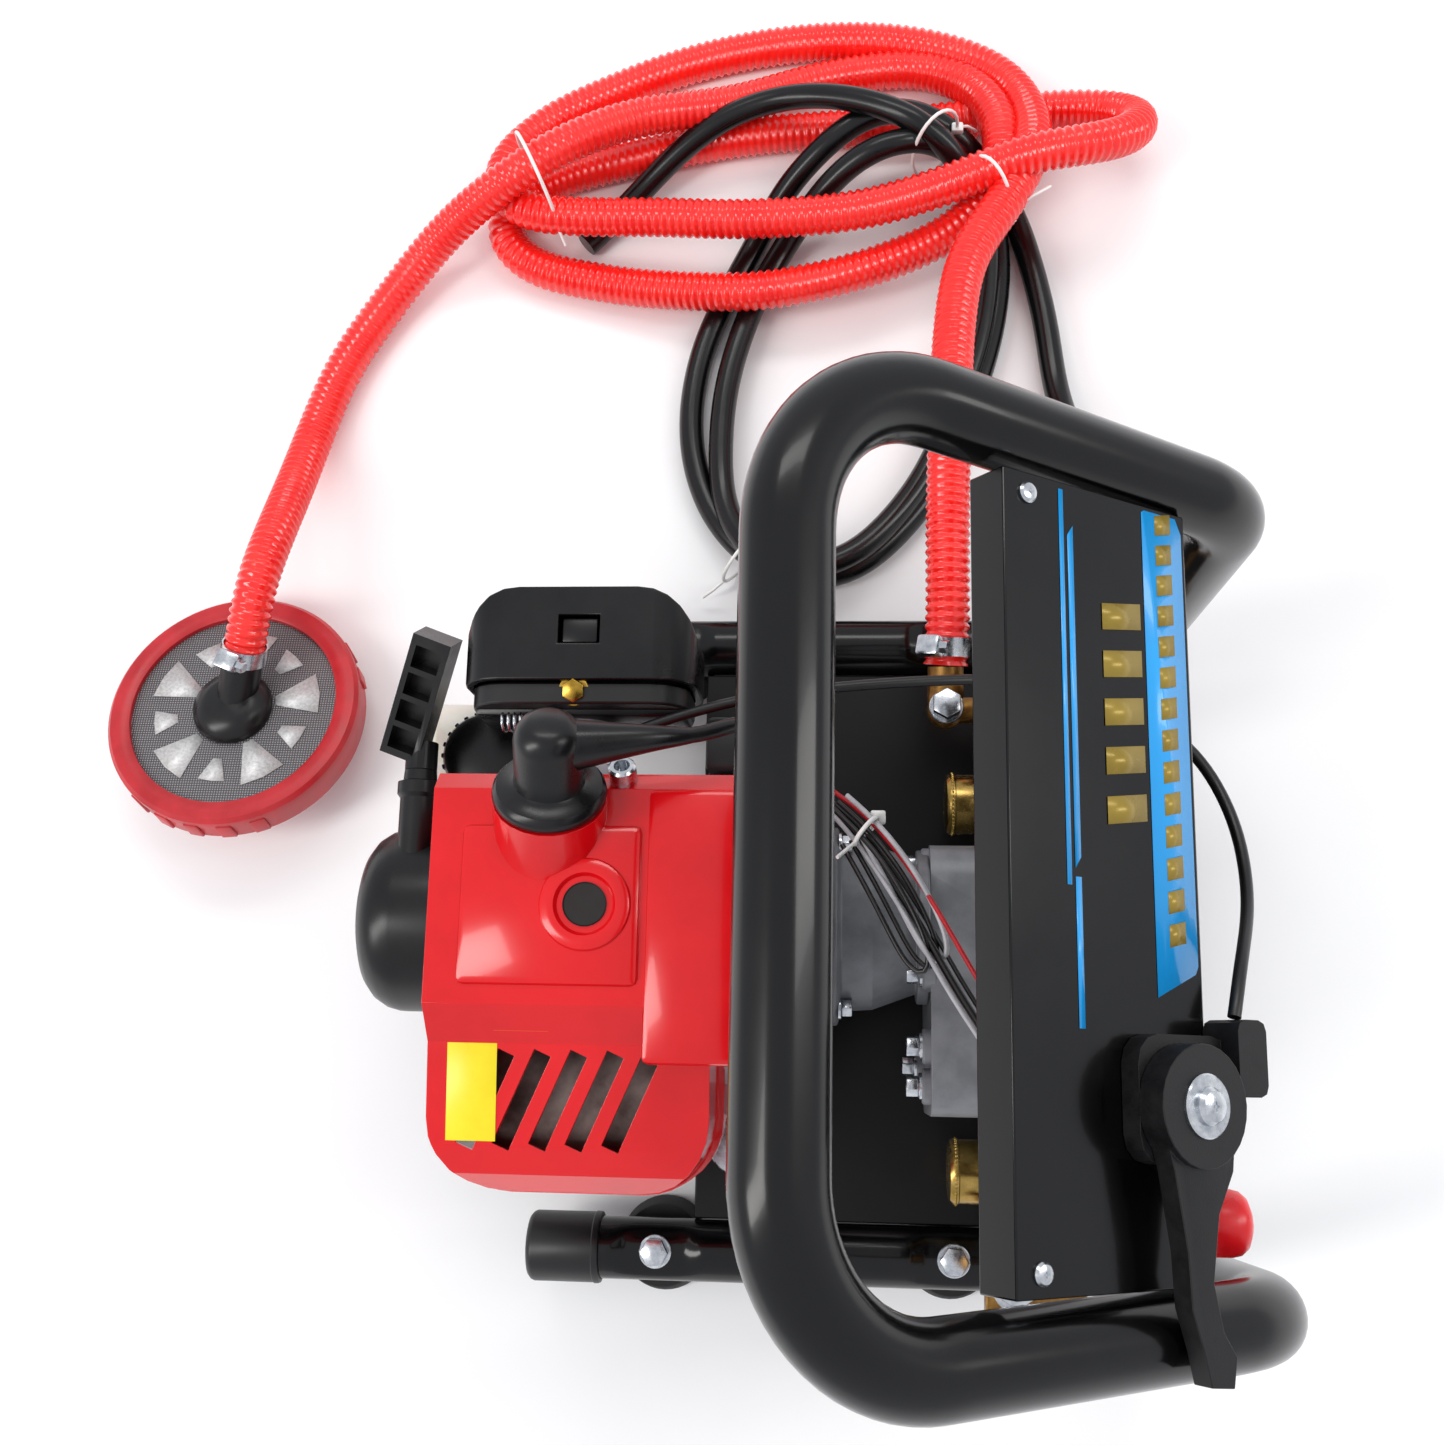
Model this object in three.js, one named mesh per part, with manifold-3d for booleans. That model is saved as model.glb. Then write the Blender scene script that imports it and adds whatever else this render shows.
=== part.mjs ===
// Petrol-engined portable power sprayer: a two-stroke engine driving an opposed-plunger pump,
// carried in a bent-tube frame, with a coiled suction hose, its strainer and a return hose.
// Millimetres. +X points to the front (label plate), +Y to the hose side, +Z up.
// The origin is at the centre of the footprint, on the surface that the feet stand on.

import * as THREE from 'three';
import { mergeVertices } from 'three/addons/utils/BufferGeometryUtils.js';
import Module from 'manifold-3d';

const wasm = await Module();
wasm.setup();

// ---- driving dimensions -------------------------------------------------------------------

const GAP = 0.3; // between pieces that touch

const TUBE_R = 16; // frame tube, 32 mm outside
const FOOT_H = 22;
const FOOT_R = 25;
const RAIL_Y = 165; // rail centre from the middle plane
const RAIL_REAR_X = -133;
const LEG_X = 193;
const BEND_Y = 157; // upper front bend
const BEND_Z = 288;
const HANDLE_X = 16;
const HANDLE_Y = 164;
const HANDLE_Z = 424;
const RAIL_BEND_R = 60;
const FRONT_BEND_R = 55;
const HANDLE_BEND_R = 60;
const CAP_LENGTH = 37;
const CAP_WALL = 1.8;
const FOOT_X = [-66, 89];
const FLAT_DEPTH = 2.5; // flats under the foot bolts' washers
const BASE_LIP = 14;
const BOLT_R = 4; // M8
const BOLT_AF = 13;
const BASE_REAR_X = -47;
const BASE_FRONT_X = 150;
const BASE_T = 3;

const PLATE_TOP_X = 85; // label plate's upper edge
const PLATE_LOW_X = 159; // label plate's lower edge
const PLATE_HALF = 142;
const PLATE_T = 2;
const PLATE_FLANGE = 18;
const PLATE_APRON = 88;
const PLATE_RISE = 9; // the plate lies this far above the side tubes' centre plane

const CRANK_Z = 122;
const CYLINDER_TOP = 216; // head of the finned cylinder
const SHAFT_R = 8;
const FAN_R = 78;
const FAN_REAR_X = -34;
const FAN_FRONT_X = 24;
const FAN_FOOT_Y = 120;
const FLYWHEEL_R = 68;
const CRANKCASE_X = [-100, -38];
const CRANKCASE_HALF = 42;
const RECOIL_R = 46;
const RECOIL_X = [-208, -160];
const PULLEY_R = 26;
const ROPE_X = -180; // starter rope
const ROPE_R = 2;
const CLUTCH_R = 42;
const DRUM_R = 32;
const GEARCASE_X = [74, 148];
const GEARCASE_HALF = 65;
const GEARCASE_TOP = 150;
const WALL = 4;

const PUMP_Y = -26;
const PUMP_Z = 95;
const PLUNGER_X = 128;
const PLUNGER_R = 8;
const STROKE = 7; // half stroke
const PINION_R = 10.5;
const GEAR_R = Math.hypot(PUMP_Y, CRANK_Z - PUMP_Z) - PINION_R - 0.8;
const CYLINDER_R = 18;
const CYLINDER_LENGTH = 64;
const HEAD_LENGTH = 27;
const HEAD_SIZE = 40;
const CUP_R = 16;
const CUP_LENGTH = 22;
const CUP_AT = 92; // grease cup from the pump's centre
const CUP_NECK = 4;
const ROD_X = PLUNGER_X - HEAD_SIZE / 2 - 1;
const ROD_Z = PUMP_Z + 21;
const BARB_X = 85; // suction elbow
const SUCTION_START = 24;

const SHROUD_X = [-148, -4];
const SHROUD_TOP = 238;
const SHROUD_FRONT_Y = -126;
const SHROUD_BACK_Y = 56;
const SHROUD_WALL = 3;
const SHROUD_CORNER = 32;
const SHROUD_STEP_X = 20; // the muffler end is this much shorter
const SHROUD_STEP_Y = -62;
const CAP_X = -152; // fuel cap
const CAP_Y = 84;
const PLUG_BASE = new THREE.Vector3(-97, 27, 226);
const PLUG_DIR = new THREE.Vector3(0.1, 0.62, 0.778).normalize();
const BOOT_R = 15;
const BOOT_START = 26; // from the plug's seat to the boot's flange

const LEVER_HUB_R = 21;
const LEVER_AT = new THREE.Vector3(140.5, -80, 0);
const BUTTON_AT = [-126, 253]; // Y and Z on the plate's apron
const BUTTON_R = 13;
const CABLE_HOLE = [72, 262]; // Y and Z where the throttle cable passes the apron
const CABLE_R = 2.5;

const SUCTION_D = 24;
const RETURN_D = 15;
const COIL_SUCTION = { x: 11, y: 486, halfX: 206, halfY: 100, width: 74, low: 32.5, high: 86 };
const COIL_RETURN = { x: 41, y: 370, halfX: 118, halfY: 164, width: 46, low: 0, high: 32 };
const STRAINER_R = 74;
const STRAINER_H = 22;
const STRAINER_TILT = THREE.MathUtils.degToRad(15);
const STRAINER_AT = new THREE.Vector3(-325, 127, 32);
const NECK_LENGTH = 34; // strainer neck

// ---- small tools --------------------------------------------------------------------------

const X = new THREE.Vector3(1, 0, 0);
const Y = new THREE.Vector3(0, 1, 0);
const Z = new THREE.Vector3(0, 0, 1);
const group = new THREE.Group();

function v(x, y, z) {
  return new THREE.Vector3(x, y, z);
}

function solid(geometry) {
  const bare = geometry.index ? geometry.toNonIndexed() : geometry.clone();
  bare.deleteAttribute('normal');
  bare.deleteAttribute('uv');
  const merged = mergeVertices(bare, 1e-4);
  return new wasm.Manifold(new wasm.Mesh({
    numProp: 3,
    vertProperties: new Float32Array(merged.attributes.position.array),
    triVerts: new Uint32Array(merged.index.array),
  }));
}

function geometryOf(manifold) {
  const mesh = manifold.getMesh();
  const geometry = new THREE.BufferGeometry();
  geometry.setAttribute('position', new THREE.BufferAttribute(mesh.vertProperties, 3));
  geometry.setIndex(new THREE.BufferAttribute(mesh.triVerts, 1));
  return geometry;
}

function join(first, ...others) {
  return geometryOf(others.reduce((sum, g) => sum.add(solid(g)), solid(first)));
}

function cut(first, ...others) {
  return geometryOf(others.reduce((sum, g) => sum.subtract(solid(g)), solid(first)));
}

function add(name, geometry, color, roughness = 0.5, metalness = 0) {
  geometry.computeVertexNormals();
  const mesh = new THREE.Mesh(geometry, new THREE.MeshStandardMaterial({ color, roughness, metalness }));
  mesh.name = name;
  group.add(mesh);
  return mesh;
}

// A box given by its two corners.
function block(low, high) {
  const size = v(...high).sub(v(...low));
  const centre = v(...high).add(v(...low)).multiplyScalar(0.5);
  return new THREE.BoxGeometry(size.x, size.y, size.z).translate(centre.x, centre.y, centre.z);
}

// A shape built along +Y is turned to point along a direction and moved to a place.
function aim(geometry, at, direction) {
  const turn = new THREE.Quaternion().setFromUnitVectors(Y, direction.clone().normalize());
  return geometry.applyQuaternion(turn).translate(at.x, at.y, at.z);
}

// A round bar from one point along a direction.
function rod(radius, at, direction, length, segments = 16) {
  const bar = new THREE.CylinderGeometry(radius, radius, length, segments).translate(0, length / 2, 0);
  return aim(bar, at, direction);
}

function hexagon(acrossFlats, at, direction, length) {
  return rod(acrossFlats / Math.sqrt(3), at, direction, length, 6);
}

// A turned piece: profile points are [radius, distance along the axis].
function turned(profile, at, direction, segments = 20) {
  const points = profile.map(([r, h]) => new THREE.Vector2(r, h));
  return aim(new THREE.LatheGeometry(points, segments), at, direction);
}

// A closed ring profile is repeated at its end, so the lathe closes on itself.
function ring(profile, at, direction, segments = 20) {
  return turned([...profile, profile[0]], at, direction, segments);
}

// An outline in the YZ plane, extruded along +X.
function alongX(outline, fromX, toX) {
  const shape = new THREE.Shape(outline.map(([y, z]) => new THREE.Vector2(y, z)));
  const geometry = new THREE.ExtrudeGeometry(shape, { depth: toX - fromX, bevelEnabled: false });
  return geometry.applyMatrix4(new THREE.Matrix4().makeBasis(Y, Z, X)).translate(fromX, 0, 0);
}

// An outline in the XZ plane, extruded along +Y.
function alongY(outline, fromY, toY) {
  const shape = new THREE.Shape(outline.map(([x, z]) => new THREE.Vector2(x, -z)));
  const geometry = new THREE.ExtrudeGeometry(shape, { depth: toY - fromY, bevelEnabled: false });
  const basis = new THREE.Matrix4().makeBasis(X, v(0, 0, -1), Y);
  return geometry.applyMatrix4(basis).translate(0, fromY, 0);
}

// A rounded rectangle as a list of points.
function rounded(lowU, highU, lowV, highV, radius, steps = 4) {
  const points = [];
  const corners = [[highU, highV, 0], [lowU, highV, 1], [lowU, lowV, 2], [highU, lowV, 3]];
  for (const [u, w, quarter] of corners) {
    const cu = u - Math.sign(u - (lowU + highU) / 2) * radius;
    const cw = w - Math.sign(w - (lowV + highV) / 2) * radius;
    for (let i = 0; i <= steps; i += 1) {
      const a = (quarter + i / steps) * Math.PI / 2;
      points.push([cu + radius * Math.cos(a), cw + radius * Math.sin(a)]);
    }
  }
  return points;
}

// Trims a shape to an outline in the XY plane.
function inPlan(geometry, outline) {
  const shape = new THREE.Shape(outline.map(([x, y]) => new THREE.Vector2(x, y)));
  const prism = new THREE.ExtrudeGeometry(shape, { depth: HANDLE_Z, bevelEnabled: false });
  return geometryOf(solid(geometry).intersect(solid(prism)));
}

function circlePoints(radius, steps) {
  return Array.from({ length: steps }, (_, i) => {
    const a = i / steps * Math.PI * 2;
    return new THREE.Vector2(radius * Math.cos(a), radius * Math.sin(a));
  });
}

// A tube of round section along a curve.
function sweep(curve, radius, steps, sides) {
  const section = new THREE.Shape(circlePoints(radius, sides));
  return new THREE.ExtrudeGeometry(section, { steps, bevelEnabled: false, extrudePath: curve });
}

function smooth(points) {
  return new THREE.CatmullRomCurve3(points.map((p) => v(...p)), false, 'centripetal');
}

class Arc extends THREE.Curve {
  constructor(start, corner, end, radius) {
    super();
    this.into = corner.clone().sub(start).normalize();
    const out = end.clone().sub(corner).normalize();
    this.angle = this.into.angleTo(out);
    this.radius = radius;
    this.first = corner.clone().addScaledVector(this.into, -radius * Math.tan(this.angle / 2));
    this.last = corner.clone().addScaledVector(out, radius * Math.tan(this.angle / 2));
    this.side = out.addScaledVector(this.into, -Math.cos(this.angle)).normalize();
  }

  getPoint(t, target = new THREE.Vector3()) {
    const a = this.angle * t;
    return target.copy(this.first)
      .addScaledVector(this.into, this.radius * Math.sin(a))
      .addScaledVector(this.side, this.radius * (1 - Math.cos(a)));
  }
}

// Straight runs joined by round bends.
function bentPath(corners, radii) {
  const path = new THREE.CurvePath();
  let from = corners[0];
  radii.forEach((radius, i) => {
    const arc = new Arc(corners[i], corners[i + 1], corners[i + 2], radius);
    path.add(new THREE.LineCurve3(from, arc.first));
    path.add(arc);
    from = arc.last;
  });
  path.add(new THREE.LineCurve3(from, corners[corners.length - 1]));
  return path;
}

// ---- frame --------------------------------------------------------------------------------

const RAIL_Z = FOOT_H + TUBE_R;
const SLOPE = v(LEG_X - HANDLE_X, 0, BEND_Z - HANDLE_Z).normalize();
const SLOPE_UP = v(-SLOPE.z, 0, SLOPE.x);

function slopeZ(x) {
  return HANDLE_Z + (x - HANDLE_X) * SLOPE.z / SLOPE.x;
}

function footPlaces() {
  return FOOT_X.flatMap((x) => [-RAIL_Y, RAIL_Y].map((y) => v(x, y, 0)));
}

function makeFrame() {
  const half = [
    v(RAIL_REAR_X, -RAIL_Y, RAIL_Z), v(LEG_X, -RAIL_Y, RAIL_Z),
    v(LEG_X, -BEND_Y, BEND_Z), v(HANDLE_X, -HANDLE_Y, HANDLE_Z),
  ];
  const mirrored = half.map((p) => v(p.x, -p.y, p.z)).reverse();
  const radii = [RAIL_BEND_R, FRONT_BEND_R, HANDLE_BEND_R, HANDLE_BEND_R, FRONT_BEND_R, RAIL_BEND_R];
  const tube = sweep(bentPath([...half, ...mirrored], radii), TUBE_R, 84, 10);
  const holes = footPlaces().map((p) => rod(BOLT_R + GAP, p, Z, RAIL_Z + TUBE_R * 2, 10));
  const flats = footPlaces().map((p) => {
    const top = RAIL_Z + TUBE_R - FLAT_DEPTH;
    return block([p.x - 14, p.y - 12, top], [p.x + 14, p.y + 12, top + 20]);
  });
  add('frame_tube', cut(tube, ...holes, ...flats), 0x0c0c0e, 0.25);
}

function makeBasePlate() {
  const top = RAIL_Z + BASE_T;
  const outline = [
    [BASE_REAR_X, top - BASE_LIP], [BASE_REAR_X + BASE_T, top - BASE_LIP], [BASE_REAR_X + BASE_T, RAIL_Z],
    [BASE_FRONT_X - BASE_T, RAIL_Z], [BASE_FRONT_X - BASE_T, top - BASE_LIP], [BASE_FRONT_X, top - BASE_LIP],
    [BASE_FRONT_X, top], [BASE_REAR_X, top],
  ];
  const half = RAIL_Y - TUBE_R - GAP;
  add('base_plate', alongY(outline, -half, half), 0x101012, 0.3);
}

function makeFeet() {
  const underside = RAIL_Z - TUBE_R;
  footPlaces().forEach((p, i) => {
    const profile = [
      [BOLT_R + GAP, 3], [FOOT_R - 9, 3], [FOOT_R - 8, 0], [FOOT_R, 0], [FOOT_R, 4],
      [FOOT_R - 3, underside - GAP], [BOLT_R + GAP, underside - GAP],
    ];
    add(`foot_${i + 1}`, ring(profile, p, Z, 14), 0x18181a, 0.8);
    const seat = RAIL_Z + TUBE_R - FLAT_DEPTH + GAP;
    const washer = rod(BOLT_AF / 2 + 2, v(p.x, p.y, seat), Z, 1.6, 20);
    const head = hexagon(BOLT_AF, v(p.x, p.y, seat), Z, 7);
    const shank = rod(BOLT_R, v(p.x, p.y, 6), Z, seat - 4, 10);
    add(`foot_bolt_${i + 1}`, join(shank, washer, head), 0xc9ccd0, 0.3, 0.9);
  });
}

function makeEndCaps() {
  [-1, 1].forEach((side, i) => {
    const bore = TUBE_R + GAP;
    const profile = [
      [0, -CAP_WALL - GAP], [bore - 2, -CAP_WALL - GAP], [bore + CAP_WALL, 1],
      [bore + CAP_WALL, CAP_LENGTH], [bore, CAP_LENGTH], [bore, -GAP], [0, -GAP],
    ];
    add(`end_cap_${i + 1}`, turned(profile, v(RAIL_REAR_X, side * RAIL_Y, RAIL_Z), X, 16), 0x141416, 0.6);
  });
}

function plateLine(x) {
  const at = v(x, 0, slopeZ(x)).addScaledVector(SLOPE_UP, PLATE_RISE);
  return [at.x, at.z];
}

function makeLabelPlate() {
  const [ax, az] = plateLine(PLATE_TOP_X);
  const [bx, bz] = plateLine(PLATE_LOW_X);
  const t = PLATE_T;
  const down = SLOPE_UP.clone().multiplyScalar(-PLATE_FLANGE);
  const outline = [
    [ax, az], [bx, bz], [bx, bz - PLATE_APRON], [bx - t, bz - PLATE_APRON],
    [bx - t, bz - t * 1.4], [ax + SLOPE.x * t - SLOPE_UP.x * t, az + SLOPE.z * t - SLOPE_UP.z * t],
    [ax + SLOPE.x * t + down.x, az + SLOPE.z * t + down.z], [ax + down.x, az + down.z],
  ].reverse();
  const plate = alongY(outline, -PLATE_HALF, PLATE_HALF);
  const [by, height] = BUTTON_AT;
  const hole = rod(6 + GAP, v(bx - 20, by, height), X, 40, 16);
  const [cableY, cableZ] = CABLE_HOLE;
  const cable = rod(CABLE_R + 6, v(bx - 20, cableY, cableZ), X, 40, 14);
  add('label_plate', cut(plate, hole, cable), 0x08080a, 0.25);
}

// ---- engine -------------------------------------------------------------------------------

const AXIS = v(0, 0, CRANK_Z);

function onAxis(x) {
  return v(x, 0, CRANK_Z);
}

function makeCrankcase() {
  const [x0, x1] = CRANKCASE_X;
  const h = CRANKCASE_HALF;
  const body = alongX(rounded(-h, h, CRANK_Z - 44, CRANK_Z + 38, 12), x0, x1);
  const flange = rod(FAN_R - 4, onAxis(x1 - 1), X, 4 + 1 - GAP * 2, 32);
  const bore = rod(30, onAxis(x0 + 8), X, x1 - x0 - 16, 24);
  const journal = rod(SHAFT_R + GAP, onAxis(x0 - 10), X, x1 - x0 + 40, 20);
  const casting = cut(join(body, flange), bore, journal);
  add('crankcase', casting, 0x8c8f92, 0.5, 0.7);
}

function makeCrankshaft() {
  const [x0, x1] = CRANKCASE_X;
  const web = (x) => rod(27, onAxis(x), X, 10, 24);
  const shaft = rod(SHAFT_R, onAxis(x0 - 26), X, FAN_FRONT_X + 6 - x0 + 26, 20);
  const dog = rod(14, onAxis(x0 - 26), X, 6, 16);
  add('crankshaft', join(shaft, dog, web(x0 + 14), web(x1 - 24)), 0x9a9c9e, 0.3, 0.9);
}

function makeFlywheel() {
  const profile = [
    [SHAFT_R + GAP, -30], [FLYWHEEL_R - 14, -30], [FLYWHEEL_R - 14, -20], [FLYWHEEL_R, -20],
    [FLYWHEEL_R, -6], [20, -6], [20, 2], [SHAFT_R + GAP, 2],
  ];
  add('flywheel', ring(profile, AXIS, X, 24), 0x9fa2a6, 0.45, 0.7);
}

function makeFanHousing() {
  const profile = [
    [FAN_R, FAN_REAR_X], [FAN_R, FAN_FRONT_X - 6], [FAN_R - 8, FAN_FRONT_X], [DRUM_R + 4, FAN_FRONT_X],
    [DRUM_R + 4, FAN_FRONT_X - WALL], [FAN_R - 10, FAN_FRONT_X - WALL], [FAN_R - WALL, FAN_FRONT_X - 9],
    [FAN_R - WALL, FAN_REAR_X],
  ];
  const shell = ring(profile, AXIS, X, 28);
  const floor = RAIL_Z + BASE_T + GAP;
  const foot = block([FAN_REAR_X, -FAN_FOOT_Y, floor], [-4, FAN_FOOT_Y, floor + 10]);
  const inside = rod(FAN_R - WALL, onAxis(FAN_REAR_X - 1), X, FAN_FRONT_X - 8 - FAN_REAR_X, 28);
  add('fan_housing', join(shell, cut(foot, inside)), 0x8f9194, 0.5, 0.6);
}

function makeClutch() {
  const start = FAN_FRONT_X + 4;
  const drum = ring([
    [DRUM_R - 3, start], [DRUM_R, start], [DRUM_R, start + 20], [SHAFT_R - 2, start + 20],
    [SHAFT_R - 2, start + 16], [DRUM_R - 3, start + 16],
  ], AXIS, X, 20);
  const shaft = rod(SHAFT_R, onAxis(start + 16), X, GEARCASE_X[0] + 34 - start - 16, 20);
  const pinion = rod(PINION_R, onAxis(GEARCASE_X[0] + 16), X, 14, 20);
  add('clutch_drum', join(drum, shaft, pinion), 0x85878a, 0.4, 0.8);
  const front = GEARCASE_X[0] - GAP;
  const x = FAN_FRONT_X + GAP;
  const profile = [
    [CLUTCH_R + 7, x], [CLUTCH_R + 7, x + 5], [CLUTCH_R, x + 7], [CLUTCH_R - 1, x + 22],
    [CLUTCH_R - 9, front - 6], [CLUTCH_R - 4, front - 6], [CLUTCH_R - 4, front],
    [SHAFT_R + GAP, front], [SHAFT_R + GAP, front - 8], [CLUTCH_R - 14, front - 10],
    [CLUTCH_R - 5, x + 20], [CLUTCH_R - 5, x],
  ];
  add('clutch_housing', ring(profile, AXIS, X, 24), 0x55585b, 0.5, 0.6);
}

function makeCylinder() {
  const low = CRANK_Z + 38 + GAP;
  const parts = [block([-108, -26, low], [-60, 26, CYLINDER_TOP - 4])];
  for (let z = low + 10; z < CYLINDER_TOP - 1; z += 9) {
    parts.push(block([-118, -36, z], [-50, 36, z + 3]));
  }
  add('cylinder', join(...parts), 0xa4a6a8, 0.5, 0.6);
}

function makeMuffler() {
  const outline = rounded(-112, -46, 148, 190, 9, 3);
  add('muffler', alongX(outline, -128, -44), 0xb9b4aa, 0.35, 0.9);
}

function shroudSection(inset) {
  const y0 = SHROUD_FRONT_Y + inset;
  const y1 = SHROUD_BACK_Y - inset;
  const top = SHROUD_TOP - inset;
  return [
    [y0, 128 - inset], [y1, 128 - inset], [y1, top - 8], [y1 - 8, top], [-46, top],
    [-62, top - 14], [-106, top - 20], [-118, top - 28], [y0, top - 44],
  ];
}

function plugPoint(s) {
  return PLUG_BASE.clone().addScaledVector(PLUG_DIR, s);
}

function makeShroud() {
  const [x0, x1] = SHROUD_X;
  const w = SHROUD_WALL;
  const back = SHROUD_BACK_Y + SHROUD_CORNER;
  const trimmed = (inset) => {
    const section = alongX(shroudSection(inset), x0 + inset, x1 - inset);
    const front = x1 - SHROUD_STEP_X - inset;
    const corner = SHROUD_CORNER - inset;
    const whole = rounded(x0 + inset, front, SHROUD_FRONT_Y + inset, back, corner, 6);
    const wide = rounded(x0 + SHROUD_CORNER, x1 - inset, SHROUD_STEP_Y + inset, back, 6, 3);
    return join(inPlan(section, whole), inPlan(section, wide));
  };
  const outer = trimmed(0);
  const inner = trimmed(w);
  const collar = rod(25, plugPoint(-12), PLUG_DIR, BOOT_START + 12 - GAP, 24);
  const collarBore = rod(18, plugPoint(-20), PLUG_DIR, 60, 24);
  const access = rod(12, v(-78, -3, SHROUD_TOP - 20), Z, 40, 20);
  const slots = [0, 1, 2, 3, 4].map((i) => {
    const slot = new THREE.BoxGeometry(8, 44, 40);
    return slot.applyMatrix4(new THREE.Matrix4().makeRotationZ(-0.42)).translate(-122 + i * 16, -86, SHROUD_TOP - 18);
  });
  const openFront = alongX(rounded(-50, 50, 120, 200, 8, 2), x1 - 10, x1 + 10);
  const openRear = alongX(rounded(-40, 40, 120, 180, 8, 2), x0 - 10, x0 + 10);
  const openBack = block([-112, SHROUD_BACK_Y - 10, 120], [-70, SHROUD_BACK_Y + 10, 192]);
  const hood = solid(outer).add(solid(collar)).subtract(solid(inner)).subtract(solid(collarBore));
  const fanRoom = rod(FAN_R + 1, onAxis(CRANKCASE_X[1] - 6), X, 60, 28);
  const bootRoom = rod(26, plugPoint(BOOT_START - GAP), PLUG_DIR, 30, 24);
  const cuts = [access, ...slots, openFront, openRear, openBack, fanRoom, bootRoom];
  const shroud = cuts.reduce((sum, g) => sum.subtract(solid(g)), hood);
  add('engine_shroud', geometryOf(shroud), 0xd8101c, 0.2);
}

function makeSparkPlug() {
  const plug = turned([
    [0, -6], [6, -6], [6, 0], [10, 0], [10, 8], [6.5, 9], [6, 34], [3, 35], [3, 46], [0, 46],
  ], PLUG_BASE, PLUG_DIR, 16);
  add('spark_plug', plug, 0xe8e6e0, 0.3);
  const s = BOOT_START;
  const boot = ring([
    [7, s], [24, s], [25, s + 3], [24, s + 7], [BOOT_R + 1, s + 9], [BOOT_R, s + 12],
    [BOOT_R, s + 36], [BOOT_R - 5, s + 41], [2, s + 43], [2, s + 26], [7, s + 24],
  ], PLUG_BASE, PLUG_DIR, 20);
  const outletWay = v(1, 0.12, -0.12).normalize();
  const outlet = rod(9, plugPoint(s + 28).addScaledVector(outletWay, 6), outletWay, 38, 14);
  add('plug_boot', join(boot, outlet), 0x101012, 0.5);
  const start = plugPoint(s + 28).addScaledVector(outletWay, 46);
  const points = [
    [start.x, start.y, start.z], [-22, 70, 248], [-8, 76, 236], [-1, 82, 215], [-4, 84, 190],
    [-10, 82, 170],
  ];
  add('ht_lead', sweep(smooth(points), 3.5, 18, 8), 0x141416, 0.4);
}

function makeRecoil() {
  const [x0, x1] = RECOIL_X;
  const r = RECOIL_R;
  const shell = turned([
    [0, x0], [r - 16, x0], [r - 7, x0 + 4], [r - 1, x0 + 13], [r, x0 + 22], [r, x1],
    [r - 3, x1], [r - 3, x0 + 22], [r - 10, x0 + 7], [r - 17, x0 + 3], [0, x0 + 3],
  ], AXIS, X, 24);
  const neckZ = CRANK_Z + PULLEY_R;
  const neck = rod(8, v(ROPE_X, 26, neckZ), Y, 46, 16);
  const boreNeck = rod(ROPE_R + GAP, v(ROPE_X, 10, neckZ), Y, 80, 12);
  const clear = rod(r - 3, onAxis(x0 + 12), X, x1 - x0, 24);
  const housing = solid(shell).add(solid(cut(neck, clear))).subtract(solid(boreNeck));
  add('recoil_housing', geometryOf(housing), 0x121214, 0.4);
}

function makeStarter() {
  const pulley = ring([
    [6, -192], [PULLEY_R + 4, -192], [PULLEY_R + 4, -189], [PULLEY_R - 4, -185], [PULLEY_R - 4, -175],
    [PULLEY_R + 4, -171], [PULLEY_R + 4, -168], [6, -168],
  ], AXIS, X, 20);
  add('recoil_pulley', pulley, 0xdcdcd4, 0.5);
  const z = CRANK_Z + PULLEY_R;
  const rope = rod(ROPE_R, v(ROPE_X, 28, z), Y, 50, 8);
  const boss = rod(8, v(ROPE_X, 72.4, z), Y, 14, 14);
  const bar = new THREE.BoxGeometry(20, 64, 18).translate(0, 26, 0);
  const lean = v(0.34, 0.83, 0.44);
  const root = v(ROPE_X - 8, 87, z);
  const grip = aim(bar, root, lean);
  const pockets = [-0.5, 14, 28.5, 43].map((s) => {
    return aim(new THREE.BoxGeometry(14, 11.5, 14).translate(0, s + 4, 6), root, lean);
  });
  const handle = pockets.reduce((sum, g) => sum.subtract(solid(g)), solid(grip).add(solid(boss)));
  add('starter_grip', geometryOf(handle.add(solid(rope))), 0x0e0e10, 0.6);
}

function makeAirCleaner() {
  const cover = rounded(-152, -38, 128, 196, 20);
  const base = rounded(-148, -42, 132, 192, 18);
  const body = inPlan(alongY(cover.reverse(), 108, 154), rounded(-152, -38, 54, 154, 28, 6));
  const room = alongY(rounded(-148, -42, 132, 192, 17).reverse(), 100, 150);
  const hollow = inPlan(room, rounded(-148, -42, 54, 150, 25, 6));
  const latch = block([-104, 126, 190], [-84, 140, 210]);
  add('air_cleaner_cover', cut(body, hollow, latch), 0x0e0e10, 0.35);
  const bodyBase = alongY(base.reverse(), 97, 107.7);
  const intake = rod(10, v(-96, 90, 158), Y, 40, 20);
  add('air_cleaner_base', cut(bodyBase, intake), 0x161618, 0.5);
  const carb = join(block([-113, 57, 140], [-79, 88, 176]), rod(15, v(-96, 80, 158), Y, 16.7, 20));
  const throat = rod(9, v(-96, 40, 158), Y, 70, 20);
  const spindle = rod(3 + GAP, v(-118, 72, 166), X, 50, 10);
  add('carburettor', cut(carb, throat, spindle), 0xa9abad, 0.4, 0.8);
  const arm = join(rod(3, v(-119, 72, 166), X, 46, 10), block([-78.7, 68, 160], [-75.7, 76, 192]));
  add('throttle_arm', arm, 0xc8c0a0, 0.35, 0.9);
}

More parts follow.
